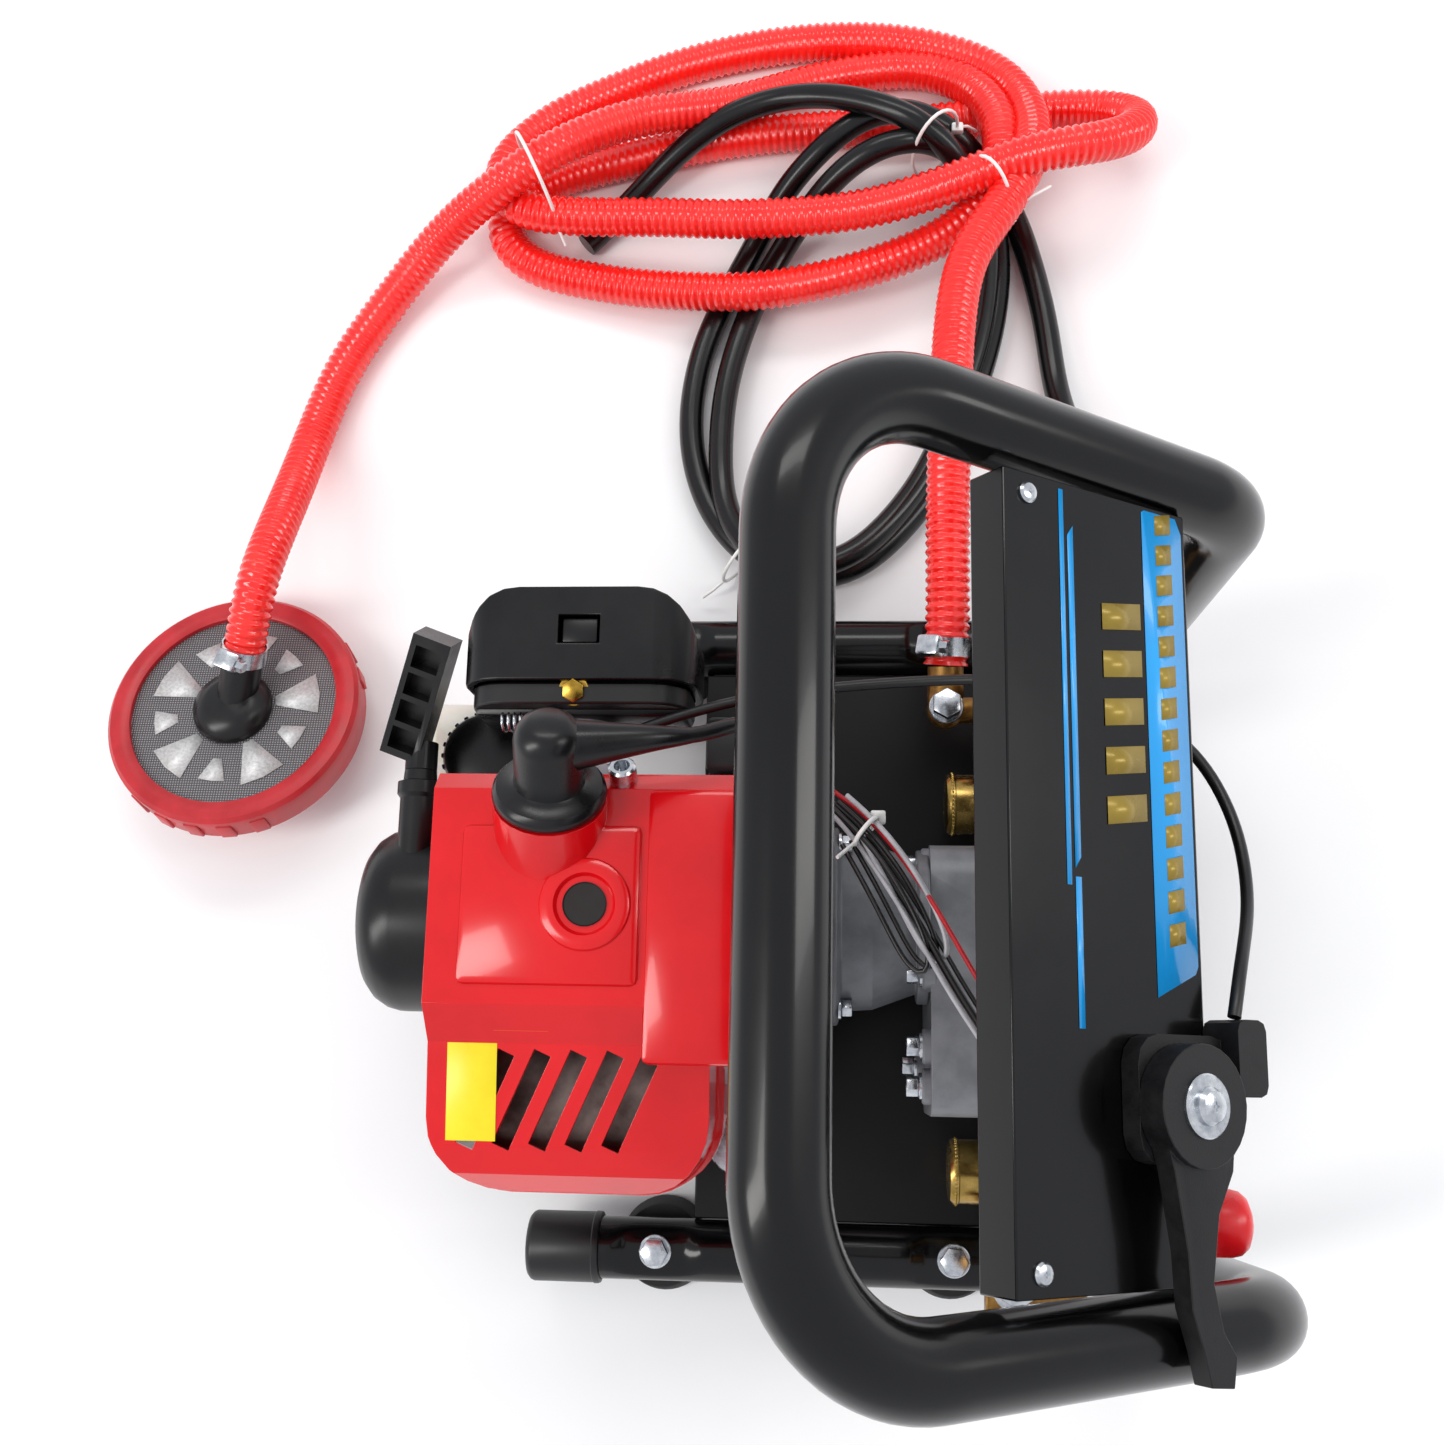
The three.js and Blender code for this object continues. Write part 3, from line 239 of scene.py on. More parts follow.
# ---- Return hose --------------------------------------------------------------------------
# Smooth black rubber-and-cord hose, 15 mm outside, in a loose oval coil that lies through the
# suction hose's turns. Its far end is cut square and left open.
return_black = finish("smooth_hose_rubber", "0b0b0d", "070708", (0.2, 0.3), 30, 0.8, 0.015,
                      **{"Specular IOR Level": 0.4})
RETURN_ROUTE = [
    (160.3, 143.2, 109), (160.4, 152, 109.5), (160.8, 165, 109), (162, 200, 99), (166, 240, 72),
    (167, 275, 40), (163, 305, 20), (157, 335, 9), (152, 379, 8), (144, 418, 8), (133, 454, 9),
    (114, 480, 20), (93, 494, 38), (72, 503, 44), (52, 503, 46), (30, 493, 44), (10, 478, 36), (-9, 464, 20),
    (-24, 440, 9), (-42, 404, 8), (-57, 368, 8), (-64, 330, 8), (-63, 298, 8), (-54, 266, 9), (-37, 239, 12),
    (-14, 221, 14), (16, 215, 12), (42, 225, 10), (63, 245, 9), (82, 270, 8), (97, 302, 8), (109, 336, 8),
    (119, 371, 8), (124, 407, 8), (123, 439, 9), (114, 464, 20), (95, 478, 40), (73, 477, 56), (52, 472, 58),
    (32, 464, 50), (13, 453, 32), (-4, 437, 14), (-22, 404, 13), (-35, 368, 14), (-43, 333, 14),
    (-45, 298, 14), (-43, 266, 15), (-32, 238, 22), (-13, 221, 29), (11, 216, 29), (37, 227, 24),
    (56, 246, 21), (75, 273, 16), (90, 305, 14), (102, 336, 14), (112, 370, 16), (116, 404, 20),
    (115, 436, 26), (103, 462, 38), (88, 475, 56), (69, 486, 64), (46, 499, 60), (19, 510, 52), (-8, 516, 42),
    (-42, 509, 36), (-73, 492, 26), (-99, 473, 12), (-117, 455, 8), (-134, 438, 8),
]
return_line = along(RETURN_ROUTE, 4.0)
return_hose = tube("return_hose", return_line, 7.5, return_black, sides=8)
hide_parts("return_hose_lead", "return_hose_coil")


# ---- Frame tube, end caps, feet and bolts -------------------------------------------------
# One 32 mm steel tube bent round both sides and over the top as the carrying bar, powder
# coated gloss black. Black plastic caps close its two ends, and four rubber feet are bolted
# up through dimples pressed in its top.
powder_black = finish("gloss_black_powder_coat", "060607", "030304", (0.16, 0.24), 90, 1.6, 0.01,
                      **{"Coat Weight": 0.12, "Coat Roughness": 0.05, "Specular IOR Level": 0.32})
cap_plastic = finish("moulded_black_polythene", "101012", "0a0a0b", (0.34, 0.46), 40, 0.9, 0.02)
foot_rubber = finish("black_rubber", "1b1b1d", "121214", (0.62, 0.8), 22, 0.6, 0.05)
bright_zinc = finish("bright_zinc_plate", "d9dce0", "b4b9c0", (0.16, 0.32), 6, 0.4, 0.01, Metallic=1.0)


ARC_STEPS = 18
RUN_STEP = 4.0


def bent(corners, radii):
    """Straight runs joined by round bends, as a list of points."""
    points = [Vector(corners[0])]
    for i, radius in enumerate(radii):
        a, b, c = (Vector(corners[i + k]) for k in range(3))
        into, out = (b - a).normalized(), (c - b).normalized()
        angle = into.angle(out)
        first = b - into * radius * np.tan(angle / 2)
        side = (out - into * cos(angle)).normalized()
        run = first - points[-1]
        pieces = max(1, int(run.length / RUN_STEP))
        points += [points[-1] + run * k / pieces for k in range(1, pieces)]
        for k in range(ARC_STEPS + 1):
            part = angle * k / ARC_STEPS
            points.append(first + into * radius * sin(part) + side * radius * (1 - cos(part)))
    last = Vector(corners[-1])
    run = last - points[-1]
    pieces = max(1, int(run.length / RUN_STEP))
    return [tuple(p) for p in points + [points[-1] + run * k / pieces for k in range(1, pieces + 1)]]


HALF_FRAME = [(-133, -165, 38), (193, -165, 38), (193, -157, 288), (16, -164, 424)]
frame_line = bent(HALF_FRAME + [(x, -y, z) for x, y, z in reversed(HALF_FRAME)], [60, 55, 60, 60, 55, 60])
drawn_tube = tube("frame_drawn", frame_line, 16, powder_black, sides=14)
bpy.context.view_layer.update()
steel = bmesh.new()
shaped = drawn_tube.evaluated_get(bpy.context.evaluated_depsgraph_get())
steel.from_mesh(bpy.data.meshes.new_from_object(shaped))
bpy.data.objects.remove(drawn_tube)
bmesh.ops.remove_doubles(steel, verts=steel.verts, dist=0.00002)
for v in steel.verts:
    for x in (-66, 89):
        across = ((v.co.x * 1000 - x) / 21) ** 4 + ((abs(v.co.y) * 1000 - 165) / 12.5) ** 4
        if across < 1 and 0.044 < v.co.z < 0.06:
            v.co.z -= 0.0031 * min(1, 2.2 * (1 - across)) * (v.co.z - 0.044) / 0.01
frame_tube = piece("frame_tube_finish", steel, powder_black, scale=1.0, crisp=60)
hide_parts("frame_tube")


def dress(node, material):
    """Gives a CAD solid its finish."""
    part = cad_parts[node]
    for slot in part.material_slots:
        slot.material = material


def rounded_copy(node, material, width, body="machine", segments=2, angle=28):
    """A copy of a CAD solid with its edges rounded, in the solid's place."""
    shape = bmesh.new()
    shape.from_mesh(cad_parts[node].data)
    bmesh.ops.remove_doubles(shape, verts=shape.verts, dist=0.00002)
    bmesh.ops.dissolve_limit(shape, angle_limit=radians(0.8), verts=shape.verts, edges=shape.edges)
    made = piece(node + "_finish", shape, material, body, scale=1.0, crisp=angle)
    edge = made.modifiers.new("edges", "BEVEL")
    edge.width = width / 1000
    edge.segments = segments
    edge.limit_method = "ANGLE"
    edge.angle_limit = radians(angle)
    edge.use_clamp_overlap = True
    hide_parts(node)


def turned(into, profile, at, way, steps):
    """Adds a turned shape: profile points are (radius, distance along the way it points)."""
    part = bmesh.new()
    points = [part.verts.new((r, 0, h)) for r, h in profile]
    edges = [part.edges.new(pair) for pair in zip(points, points[1:])]
    bmesh.ops.spin(part, geom=points + edges, cent=(0, 0, 0), axis=(0, 0, 1), angle=2 * pi, steps=steps,
                   use_merge=True)
    bmesh.ops.remove_doubles(part, verts=part.verts, dist=0.001)
    bmesh.ops.recalc_face_normals(part, faces=part.faces)
    place(into, part, at, way)


def place(into, part, at, way):
    """Turns a shape's Z to a direction, moves it, and adds it to a mesh."""
    turn = Vector(way).to_track_quat("Z", "Y").to_matrix().to_4x4()
    bmesh.ops.transform(part, matrix=Matrix.Translation(at) @ turn, verts=part.verts)
    data = bpy.data.meshes.new("part")
    part.to_mesh(data)
    part.free()
    into.from_mesh(data)
    bpy.data.meshes.remove(data)


def block(into, size, at, way=(0, 0, 1), *, edge, spin=0.0):
    """Adds a block with rounded edges: its size, its centre and where its Z points."""
    part = bmesh.new()
    bmesh.ops.create_cube(part, size=1.0)
    bmesh.ops.scale(part, vec=size, verts=part.verts)
    bmesh.ops.bevel(part, geom=part.edges[:], offset=edge, offset_type="OFFSET", segments=2, profile=0.5,
                    affect="EDGES", material=-1)
    bmesh.ops.rotate(part, matrix=Matrix.Rotation(spin, 3, "Z"), verts=part.verts)
    place(into, part, at, way)


def hex_bolt(into, at, way, across=13.0, height=6.0, washer=8.5, spin=0.0):
    """Adds a hexagon head with its chamfer and a washer under it."""
    head = bmesh.new()
    bmesh.ops.create_circle(head, cap_ends=True, segments=6, radius=across / 1.732)
    bmesh.ops.rotate(head, matrix=Matrix.Rotation(spin, 3, "Z"), verts=head.verts)
    up_faces = bmesh.ops.extrude_face_region(head, geom=head.faces[:])
    tops = [v for v in up_faces["geom"] if isinstance(v, bmesh.types.BMVert)]
    bmesh.ops.translate(head, vec=(0, 0, height), verts=tops)
    bmesh.ops.translate(head, vec=(0, 0, 1.6), verts=head.verts)
    bmesh.ops.recalc_face_normals(head, faces=head.faces)
    bmesh.ops.bevel(head, geom=head.edges[:], offset=0.6, offset_type="OFFSET", segments=2, profile=0.5,
                    affect="EDGES", material=-1)
    place(into, head, at, way)
    turned(into, [(0, 0), (washer, 0), (washer, 1.2), (washer - 0.4, 1.6), (0, 1.6)], at, way, 28)


for i in (1, 2, 3, 4):
    low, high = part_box(f"foot_{i}")
    middle = (low + high) * 500
    rubber = bmesh.new()
    turned(rubber, [(4.3, 3), (16, 3), (17, 0), (24, 0), (25, 1), (25, 4), (24.4, 6), (22.2, 20.6),
                    (21.4, 21.7), (4.3, 21.7), (4.3, 3)], (middle.x, middle.y, 0), (0, 0, 1), 40)
    foot = piece(f"foot_{i}_finish", rubber, foot_rubber)
    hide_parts(f"foot_{i}")
    screw = bmesh.new()
    hex_bolt(screw, (middle.x, middle.y, 51.9), (0, 0, 1), spin=0.5 * i)
    turned(screw, [(0, 6), (4, 6), (4, 52.4), (0, 52.4)], (middle.x, middle.y, 0), (0, 0, 1), 20)
    bolt = piece(f"foot_bolt_{i}_finish", screw, bright_zinc)
    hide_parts(f"foot_bolt_{i}")

for i, side in ((1, -165), (2, 165)):
    plug = bmesh.new()
    turned(plug, [(0, -2.2), (13.5, -2.2), (15.6, -1.7), (17.4, -0.2), (18.1, 1.6), (18.1, 33), (18.5, 33.6),
                  (18.5, 35.6), (18.1, 36.6), (16.3, 37), (16.3, -0.3), (0, -0.3)], (-133, side, 38),
                  (1, 0, 0), 40)
    cap = piece(f"end_cap_{i}_finish", plug, cap_plastic)
    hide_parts(f"end_cap_{i}")

sheet_black = finish("black_powder_coated_sheet", "060607", "030304", (0.26, 0.36), 70, 1.4, 0.015,
                     **{"Specular IOR Level": 0.3})
rounded_copy("base_plate", sheet_black, 0.8)

# ---- Label plate --------------------------------------------------------------------------
# Folded steel sheet, gloss black, screwed between the slanting tubes, with a printed film on
# its face: pale blue bands and gold bars, in place of any lettering.
rounded_copy("label_plate", powder_black, 0.7)
print_blue = finish("printed_film_blue", "1f9fe8", "1b97e0", (0.2, 0.28), 60, 2, 0.004,
                    **{"Coat Weight": 0.3})
print_gold = finish("printed_film_gold", "9c8433", "8c7528", (0.24, 0.34), 30, 1.5, 0.006, Metallic=0.25)
down = Vector((177, 0, -136)).normalized()
across_plate = Vector((0, 1, 0))
off_plate = down.cross(across_plate)
plate_edge = Vector((99.48, 0, 371.2))


def printed(name, shapes, height, material):
    """A printed shape on the plate: each is a list of (distance down the plate, Y)."""
    film = bmesh.new()
    for shape in shapes:
        corners = [film.verts.new(plate_edge + down * s + across_plate * y + off_plate * height)
                   for s, y in shape]
        film.faces.new(corners)
    bmesh.ops.recalc_face_normals(film, faces=film.faces)
    for face in film.faces:
        if face.normal.dot(off_plate) < 0:
            face.normal_flip()
    made = piece(name, film, material)
    thick = made.modifiers.new("film", "SOLIDIFY")
    thick.thickness = 0.00012
    thick.offset = 1.0
    return made


def bar(s0, s1, y0, y1, slant=0.0):
    """A four-cornered bar between two distances down the plate and two Y values."""
    return [(s0, y0), (s1, y0 + slant), (s1, y1 + slant), (s0, y1)]


printed("plate_blue", [
    bar(15.4, 17.6, -6, 139), bar(19.4, 22.2, -55, -3), bar(19.4, 22.2, 0, 122, 4),
    [(58.5, -43), (78.5, -34), (80, -31), (80, 134), (77, 140), (60, 140), (58.5, 139)],
], 0.12, print_blue)
gold = [bar(36, 56, 17 + 18 * i, 27 + 18 * i, 3) for i in range(5)]
gold += [bar(65.5, 74, -25 + 12 * i, -17 + 12 * i, 2) for i in range(14)]
printed("plate_gold", gold, 0.26, print_gold)


def cross_screw(into, at, way, radius, height):
    """Adds a pan head with a raised cross on its top."""
    turned(into, [(0, 0), (radius, 0), (radius, height * 0.35), (radius * 0.8, height * 0.8),
                  (radius * 0.45, height), (0, height)], at, way, 28)
    for angle in (0, pi / 2):
        part = bmesh.new()
        bmesh.ops.create_cube(part, size=1.0)
        bmesh.ops.scale(part, vec=(radius * 0.52, radius * 0.16, 0.5), verts=part.verts)
        bmesh.ops.rotate(part, matrix=Matrix.Rotation(angle, 3, "Z"), verts=part.verts)
        bmesh.ops.translate(part, vec=(0, 0, height + 0.1), verts=part.verts)
        place(into, part, at, way)


plate_screws = bmesh.new()
for y in (134, -134):
    cross_screw(plate_screws, tuple(plate_edge + across_plate * y + off_plate * 0.1),
                tuple(off_plate), 4.0, 2.2)
screws = piece("plate_screws", plate_screws, bright_zinc)

# ---- Throttle lever and stop button -------------------------------------------------------
# A glass-filled nylon lever on a bracket at the plate's corner pulls the throttle cable, and
# a red mushroom button on the plate's front edge stops the engine.
nylon = finish("glass_filled_nylon", "141416", "0b0b0d", (0.42, 0.6), 8, 0.7, 0.09,
               **{"Specular IOR Level": 0.35})
button_red = finish("moulded_red_abs", "ee1a22", "e01019", (0.26, 0.36), 12, 0.8, 0.02,
                    **{"Subsurface Weight": 0.1, "Subsurface Scale": 0.002})
cable_black = finish("extruded_black_pvc", "0d0d0f", "08080a", (0.3, 0.42), 12, 0.5, 0.015)
rounded_copy("throttle_bracket", nylon, 1.2)
rounded_copy("throttle_lever", nylon, 1.4, body="throttle")
hub_at = Vector((140.5, -80, 328.34)) + off_plate * 9
pivot = bmesh.new()
turned(pivot, [(0, 0), (11, 0), (11, 1.0), (10.4, 1.5), (0, 1.5)], tuple(hub_at + off_plate * 19.6),
       tuple(off_plate), 36)
cross_screw(pivot, tuple(hub_at + off_plate * 21.1), tuple(off_plate), 6.6, 3.4)
pivot_screw = piece("lever_screw", pivot, bright_zinc, "throttle")
knob = bmesh.new()
turned(knob, [(0, -12), (4.6, -12), (4.6, 11), (11, 11), (12.6, 12), (13, 13.5), (13, 21), (12.2, 24.4),
              (10, 27), (6, 28.6), (0, 29)], (164.48, -126, 253), (1, 0, 0), 44)
button = piece("stop_button_finish", knob, button_red, "stop_push")
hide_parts("stop_button")
rounded_copy("stop_switch_body", nylon, 0.4)
THROTTLE_ROUTE = [
    (174.5, -49, 324.9), (178.5, -33, 318.9), (190, -2, 288), (190, 30, 272), (179, 58, 264), (164, 72, 262),
    (144, 90, 246), (110, 104, 212), (50, 106, 196), (-10, 100, 192), (-50, 90, 190), (-73, 82, 188),
]
throttle_cable = tube("throttle_cable_finish", along(THROTTLE_ROUTE, 4, 8), 2.5, cable_black)
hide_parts("throttle_cable")

# ---- Engine shroud ------------------------------------------------------------------------
# Glossy red moulded hood over the cylinder, with a louvre above the silencer, a spark plug
# collar, a funnel to a head screw and fine ribs round its lower edge.
hood_red = finish("moulded_red_hood_nylon", "dd0a14", "cf0710", (0.14, 0.22), 60, 1.6, 0.012,
                  **{"Coat Weight": 0.25, "Coat Roughness": 0.05, "Specular IOR Level": 0.4})
rounded_copy("engine_shroud", hood_red, 2.6, segments=3)

FUNNEL_AT = (-78, -3, 0)
steps = bmesh.new()
block(steps, (80, 70, 9), (-94, -3, 236.6), edge=3.8)
block(steps, (46, 118, 7), (-29, -11, 236.4), edge=3.0)
block(steps, (100, 12, 3), (-98, -52, 225.6), way=(0, -0.5, 0.86), edge=1.2)
turned(steps, [(11.8, 236), (11.8, 240.5), (13.6, 243.2), (16.5, 243.6), (19.5, 242.4), (20.6, 240.4),
               (16, 236), (11.8, 236)], FUNNEL_AT, (0, 0, 1), 48)
hood_steps = piece("hood_steps", steps, hood_red)

well_dark = finish("shadowed_screw_well", "140808", "0c0506", (0.6, 0.7), 10, 1, 0.02)
well = bmesh.new()
turned(well, [(0, 241.5), (9.0, 241.6), (9.6, 242.2), (9.6, 240.6), (0, 240.4)], FUNNEL_AT, (0, 0, 1), 40)
funnel = piece("hood_funnel_floor", well, well_dark)

RIB_LOW, RIB_CORNER = -126.4, 32
for k in range(5):
    z = 182 - 7 * k
    turn_left = [(-116 - RIB_CORNER * sin(a), RIB_LOW + RIB_CORNER * (1 - cos(a)), z)
                 for a in np.linspace(pi / 2, 0, 9)]
    turn_right = [(-56 + RIB_CORNER * sin(a), RIB_LOW + RIB_CORNER * (1 - cos(a)), z)
                  for a in np.linspace(0, pi / 2, 9)]
    line = [(-148.2, -60, z)] + turn_left + turn_right + [(-23.8, -64, z)]
    rib = tube(f"hood_rib_{k + 1}", line, 0.9, hood_red, sides=2)

sticker_yellow = finish("vinyl_film_yellow", "f6e11c", "eed60f", (0.26, 0.34), 30, 2, 0.004)
sticker_orange = finish("vinyl_film_orange", "f0601a", "e85312", (0.28, 0.36), 30, 2, 0.004)


def on_hood(name, width, length, at, way, material):
    """A printed vinyl sticker laid on the hood, with way pointing off its face."""
    film = bmesh.new()
    block(film, (width, length, 0.24), at, way, edge=0.08)
    made = piece(name, film, material)


on_hood("sticker_plain", 22, 42, (-128, -83, 221.3), (0, -0.13, 0.99), sticker_yellow)
on_hood("sticker_small", 24, 8, (-106, -53.4, 230.4), (0, -0.5, 0.86), sticker_orange)

steel_hot = finish("heat_tinted_steel", "8d7d78", "5c4c48", (0.3, 0.45), 24, 0.8, 0.03, Metallic=0.9)
rounded_copy("muffler", steel_hot, 2.5)
cast_alloy = finish("die_cast_aluminium", "a2a4a8", "8b8d92", (0.42, 0.58), 9, 0.7, 0.05, Metallic=0.55)
cast_dark = finish("grey_painted_casting", "76787c", "66686c", (0.38, 0.52), 14, 0.9, 0.06, Metallic=0.2)
rounded_copy("cylinder", cast_alloy, 0.8)

# ---- Spark plug, its boot and lead --------------------------------------------------------
# Moulded rubber boot with a broad sealing flange, and its thick sleeve that narrows into the
# ignition lead, which hangs back into the coil's black block.
boot_rubber = finish("moulded_boot_rubber", "0d0d0f", "08080a", (0.24, 0.36), 14, 0.8, 0.02,
                     **{"Specular IOR Level": 0.42})
plug_base = Vector((-97, 27, 226))
plug_way = Vector((0.1, 0.62, 0.778)).normalized()
boot_shape = bmesh.new()
turned(boot_shape, [(7, 26), (22, 26), (24.4, 27), (25, 29), (24.6, 31), (23, 33), (17.5, 34.2), (15.6, 36),
                    (15, 39), (15, 58), (14.4, 62), (12, 66), (8, 68.4), (0, 69), (0, 50), (7, 50), (7, 26)],
       tuple(plug_base), tuple(plug_way), 48)
boot = piece("plug_boot_finish", boot_shape, boot_rubber)
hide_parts("plug_boot")
outlet = plug_base + plug_way * 54
sleeve_way = Vector((1, 0.12, -0.12)).normalized()
lead_points = [tuple(outlet + sleeve_way * s) for s in (4, 16, 28, 40, 52)] + [
    (-30, 68.5, 253), (-19, 74, 247), (-9, 79, 235), (-3, 83, 214), (-5, 84, 190), (-10, 82, 170)]
lead_line = along(lead_points, 2.0, 8)
travelled = np.arange(len(lead_line)) * 2.0
lead_width = np.interp(travelled, [0, 8, 26, 46, 58], [11.5, 11, 8, 5, 3.5]) / 3.5
lead = tube("ht_lead_finish", lead_line, 3.5, boot_rubber, swell=lead_width, sides=7)
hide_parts("ht_lead")
coil_block = bmesh.new()
block(coil_block, (34, 26, 30), (-16, 80, 168), edge=2.5)
block(coil_block, (20, 40, 14), (-20, 66, 160), edge=2)
coil = piece("ignition_coil", coil_block, cap_plastic)
brass = finish("turned_brass", "c9a24c", "a8842f", (0.2, 0.34), 7, 0.5, 0.01, Metallic=1.0)
dress("spark_plug", finish("glazed_ceramic", "f1efe9", "e8e5dc", (0.12, 0.2), 20, 1, 0.01))
head_nut = bmesh.new()
turned(head_nut, [(0, 0), (6.2, 0), (6.2, 15), (5.2, 16), (3.6, 16), (3.6, 10), (0, 10)], (-64, 49, 228),
       (0, 0.55, 0.83), 32)
nut = piece("head_screw", head_nut, bright_zinc)
jet = bmesh.new()
hex_bolt(jet, (-96, 104, 190), (0, -0.25, 0.97), across=10, height=3, washer=7.6)
brass_jet = piece("choke_screw", jet, brass)
helix = [(-131 + 0.42 * k, 89 + 4.4 * cos(k * 0.9), 186 + 4.4 * sin(k * 0.9)) for k in range(70)]
idle_spring = tube("idle_spring", helix, 0.7, bright_zinc, sides=3)

# ---- Recoil starter -----------------------------------------------------------------------
# Black moulded dome on the crankcase with a rope neck; the grip is a moulded black bar with
# four pockets, which pulls the rope out of the neck.
moulded_black = finish("moulded_black_nylon", "0c0c0e", "070709", (0.24, 0.36), 40, 1.1, 0.025,
                       **{"Specular IOR Level": 0.38})
dome = bmesh.new()
turned(dome, [(0, -208), (24, -208), (30, -207.2), (36, -205), (41, -201), (44.4, -195.5), (45.8, -190),
              (46, -186), (46, -160), (43, -160), (43, -186), (36, -201), (29, -205), (0, -205)], (0, 0, 122),
              (1, 0, 0), 64)
turned(dome, [(2.4, 26), (9.4, 26), (9.4, 58), (11, 60), (11, 66), (8.4, 67), (8, 72), (2.4, 72), (2.4, 26)],
       (-180, 0, 148), (0, 1, 0), 36)
recoil = piece("recoil_housing_finish", dome, moulded_black)
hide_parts("recoil_housing")
rounded_copy("starter_grip", moulded_black, 1.6, body="starter_handle", segments=3)
dress("recoil_pulley", finish("natural_nylon", "dcdcd4", "d0d0c6", (0.4, 0.5), 20, 1, 0.03))

# ---- Air cleaner and carburettor ----------------------------------------------------------
# Deep black moulded cover with broad round shoulders and a latch recess, clipped to a base
# plate on the carburettor.
rounded_copy("air_cleaner_cover", moulded_black, 5, segments=4)
rounded_copy("air_cleaner_base", cap_plastic, 1.2)
rounded_copy("carburettor", cast_alloy, 1.0)
dress("throttle_arm", bright_zinc)
latch = bmesh.new()
block(latch, (17, 12, 3), (-94, 133, 191.4), edge=0.8)
block(latch, (104, 14, 34), (-95, 101, 162), edge=3)
cleaner_latch = piece("cleaner_latch", latch, moulded_black)

# ---- Fuel tank ----------------------------------------------------------------------------
# Blow-moulded white tank, a little see-through, with a black ribbed screw cap.
tank_white = finish("natural_polythene", "ece9e0", "e0dccf", (0.3, 0.42), 30, 1.2, 0.04,
                    **{"Subsurface Weight": 0.4, "Subsurface Scale": 0.012})
rounded_copy("fuel_tank", tank_white, 3.5, segments=3)
lid = bmesh.new()
turned(lid, [(0, 118.5), (15.5, 118.5), (15.5, 112.6), (21, 112.6), (22, 114), (22, 130), (20.5, 133),
             (18, 134), (0, 134)], (-152, 84, 0), (0, 0, 1), 48)
for k in range(24):
    a = k * pi / 12
    block(lid, (2.2, 2.4, 15), (-152 + 22.2 * cos(a), 84 + 22.2 * sin(a), 122), edge=0.5, spin=a)
fuel_cap = piece("fuel_cap_finish", lid, moulded_black, "tank_cap")
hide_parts("fuel_cap")

# ---- Crankcase, fan housing and clutch ----------------------------------------------------
# Die-cast aluminium cases, bolted together and to the base plate with zinc screws.
rounded_copy("crankcase", cast_alloy, 2.0)
rounded_copy("fan_housing", cast_alloy, 1.6)
rounded_copy("clutch_housing", cast_dark, 1.0)
for node in ("crankshaft", "flywheel", "clutch_drum"):
    dress(node, bright_zinc)
case_bolts = bmesh.new()
CRANK_Z, CASE_BOLT_RING = 122, 45.4
for k in range(3):
    a = radians(35 + 120 * k)
    hex_bolt(case_bolts, (30, CASE_BOLT_RING * cos(a), CRANK_Z + CASE_BOLT_RING * sin(a)), (1, 0, 0),
             across=8, height=5, washer=5.5)
turned(case_bolts, [(4, 0), (15, 0), (15.6, 0.8), (15, 1.8), (4, 1.8), (4, 0)], (-22, -109, 67.5), (0, 0, 1),
       40)
hex_bolt(case_bolts, (-22, -109, 68.8), (0, 0, 1), across=10, height=6, washer=6.5)
hex_bolt(case_bolts, (-22, 109, 67.5), (0, 0, 1), across=10, height=6, washer=9)
engine_bolts = piece("engine_bolts", case_bolts, bright_zinc)

# ---- Pump ---------------------------------------------------------------------------------
# Grey cast gear case with opposed plunger cylinders, brass valve heads held by chromed tie
# rods, and a brass grease cup on each cylinder.
gear_grey = finish("grey_cast_gear_case", "85878b", "75777b", (0.36, 0.5), 16, 0.9, 0.07, Metallic=0.3)
rounded_copy("pump_gearcase", gear_grey, 4.0, segments=4)
seam = bmesh.new()
low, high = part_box("pump_gearcase")
case = (high - low) * 1000
middle = (low + high) * 500
block(seam, (1.2, case.y + 0.7, case.z * 0.94 + 0.7), tuple(middle + Vector((-11, 0, 0))), edge=0.5)
gear_seam = piece("gearcase_seam", seam, cast_dark)
bosses = bmesh.new()
gear_bolts = bmesh.new()
for y, z in ((-82, 132), (-72, 60), (-62, 139), (14, 132), (31, 132), (30, 70), (-26, 143)):
    across = y * 0.94
    turned(bosses, [(0, -2), (8.6, -2), (8.6, 3), (7.8, 4), (0, 4)], (74, across, z), (-1, 0, 0), 28)
    hex_bolt(gear_bolts, (70, across, z), (-1, 0, 0), across=9, height=6, washer=6.4, spin=y)
boss_ring = piece("gearcase_bosses", bosses, gear_grey)
case_screws = piece("gearcase_bolts", gear_bolts, bright_zinc)
for node in ("pump_gear", "plunger_yoke"):
    dress(node, bright_zinc)

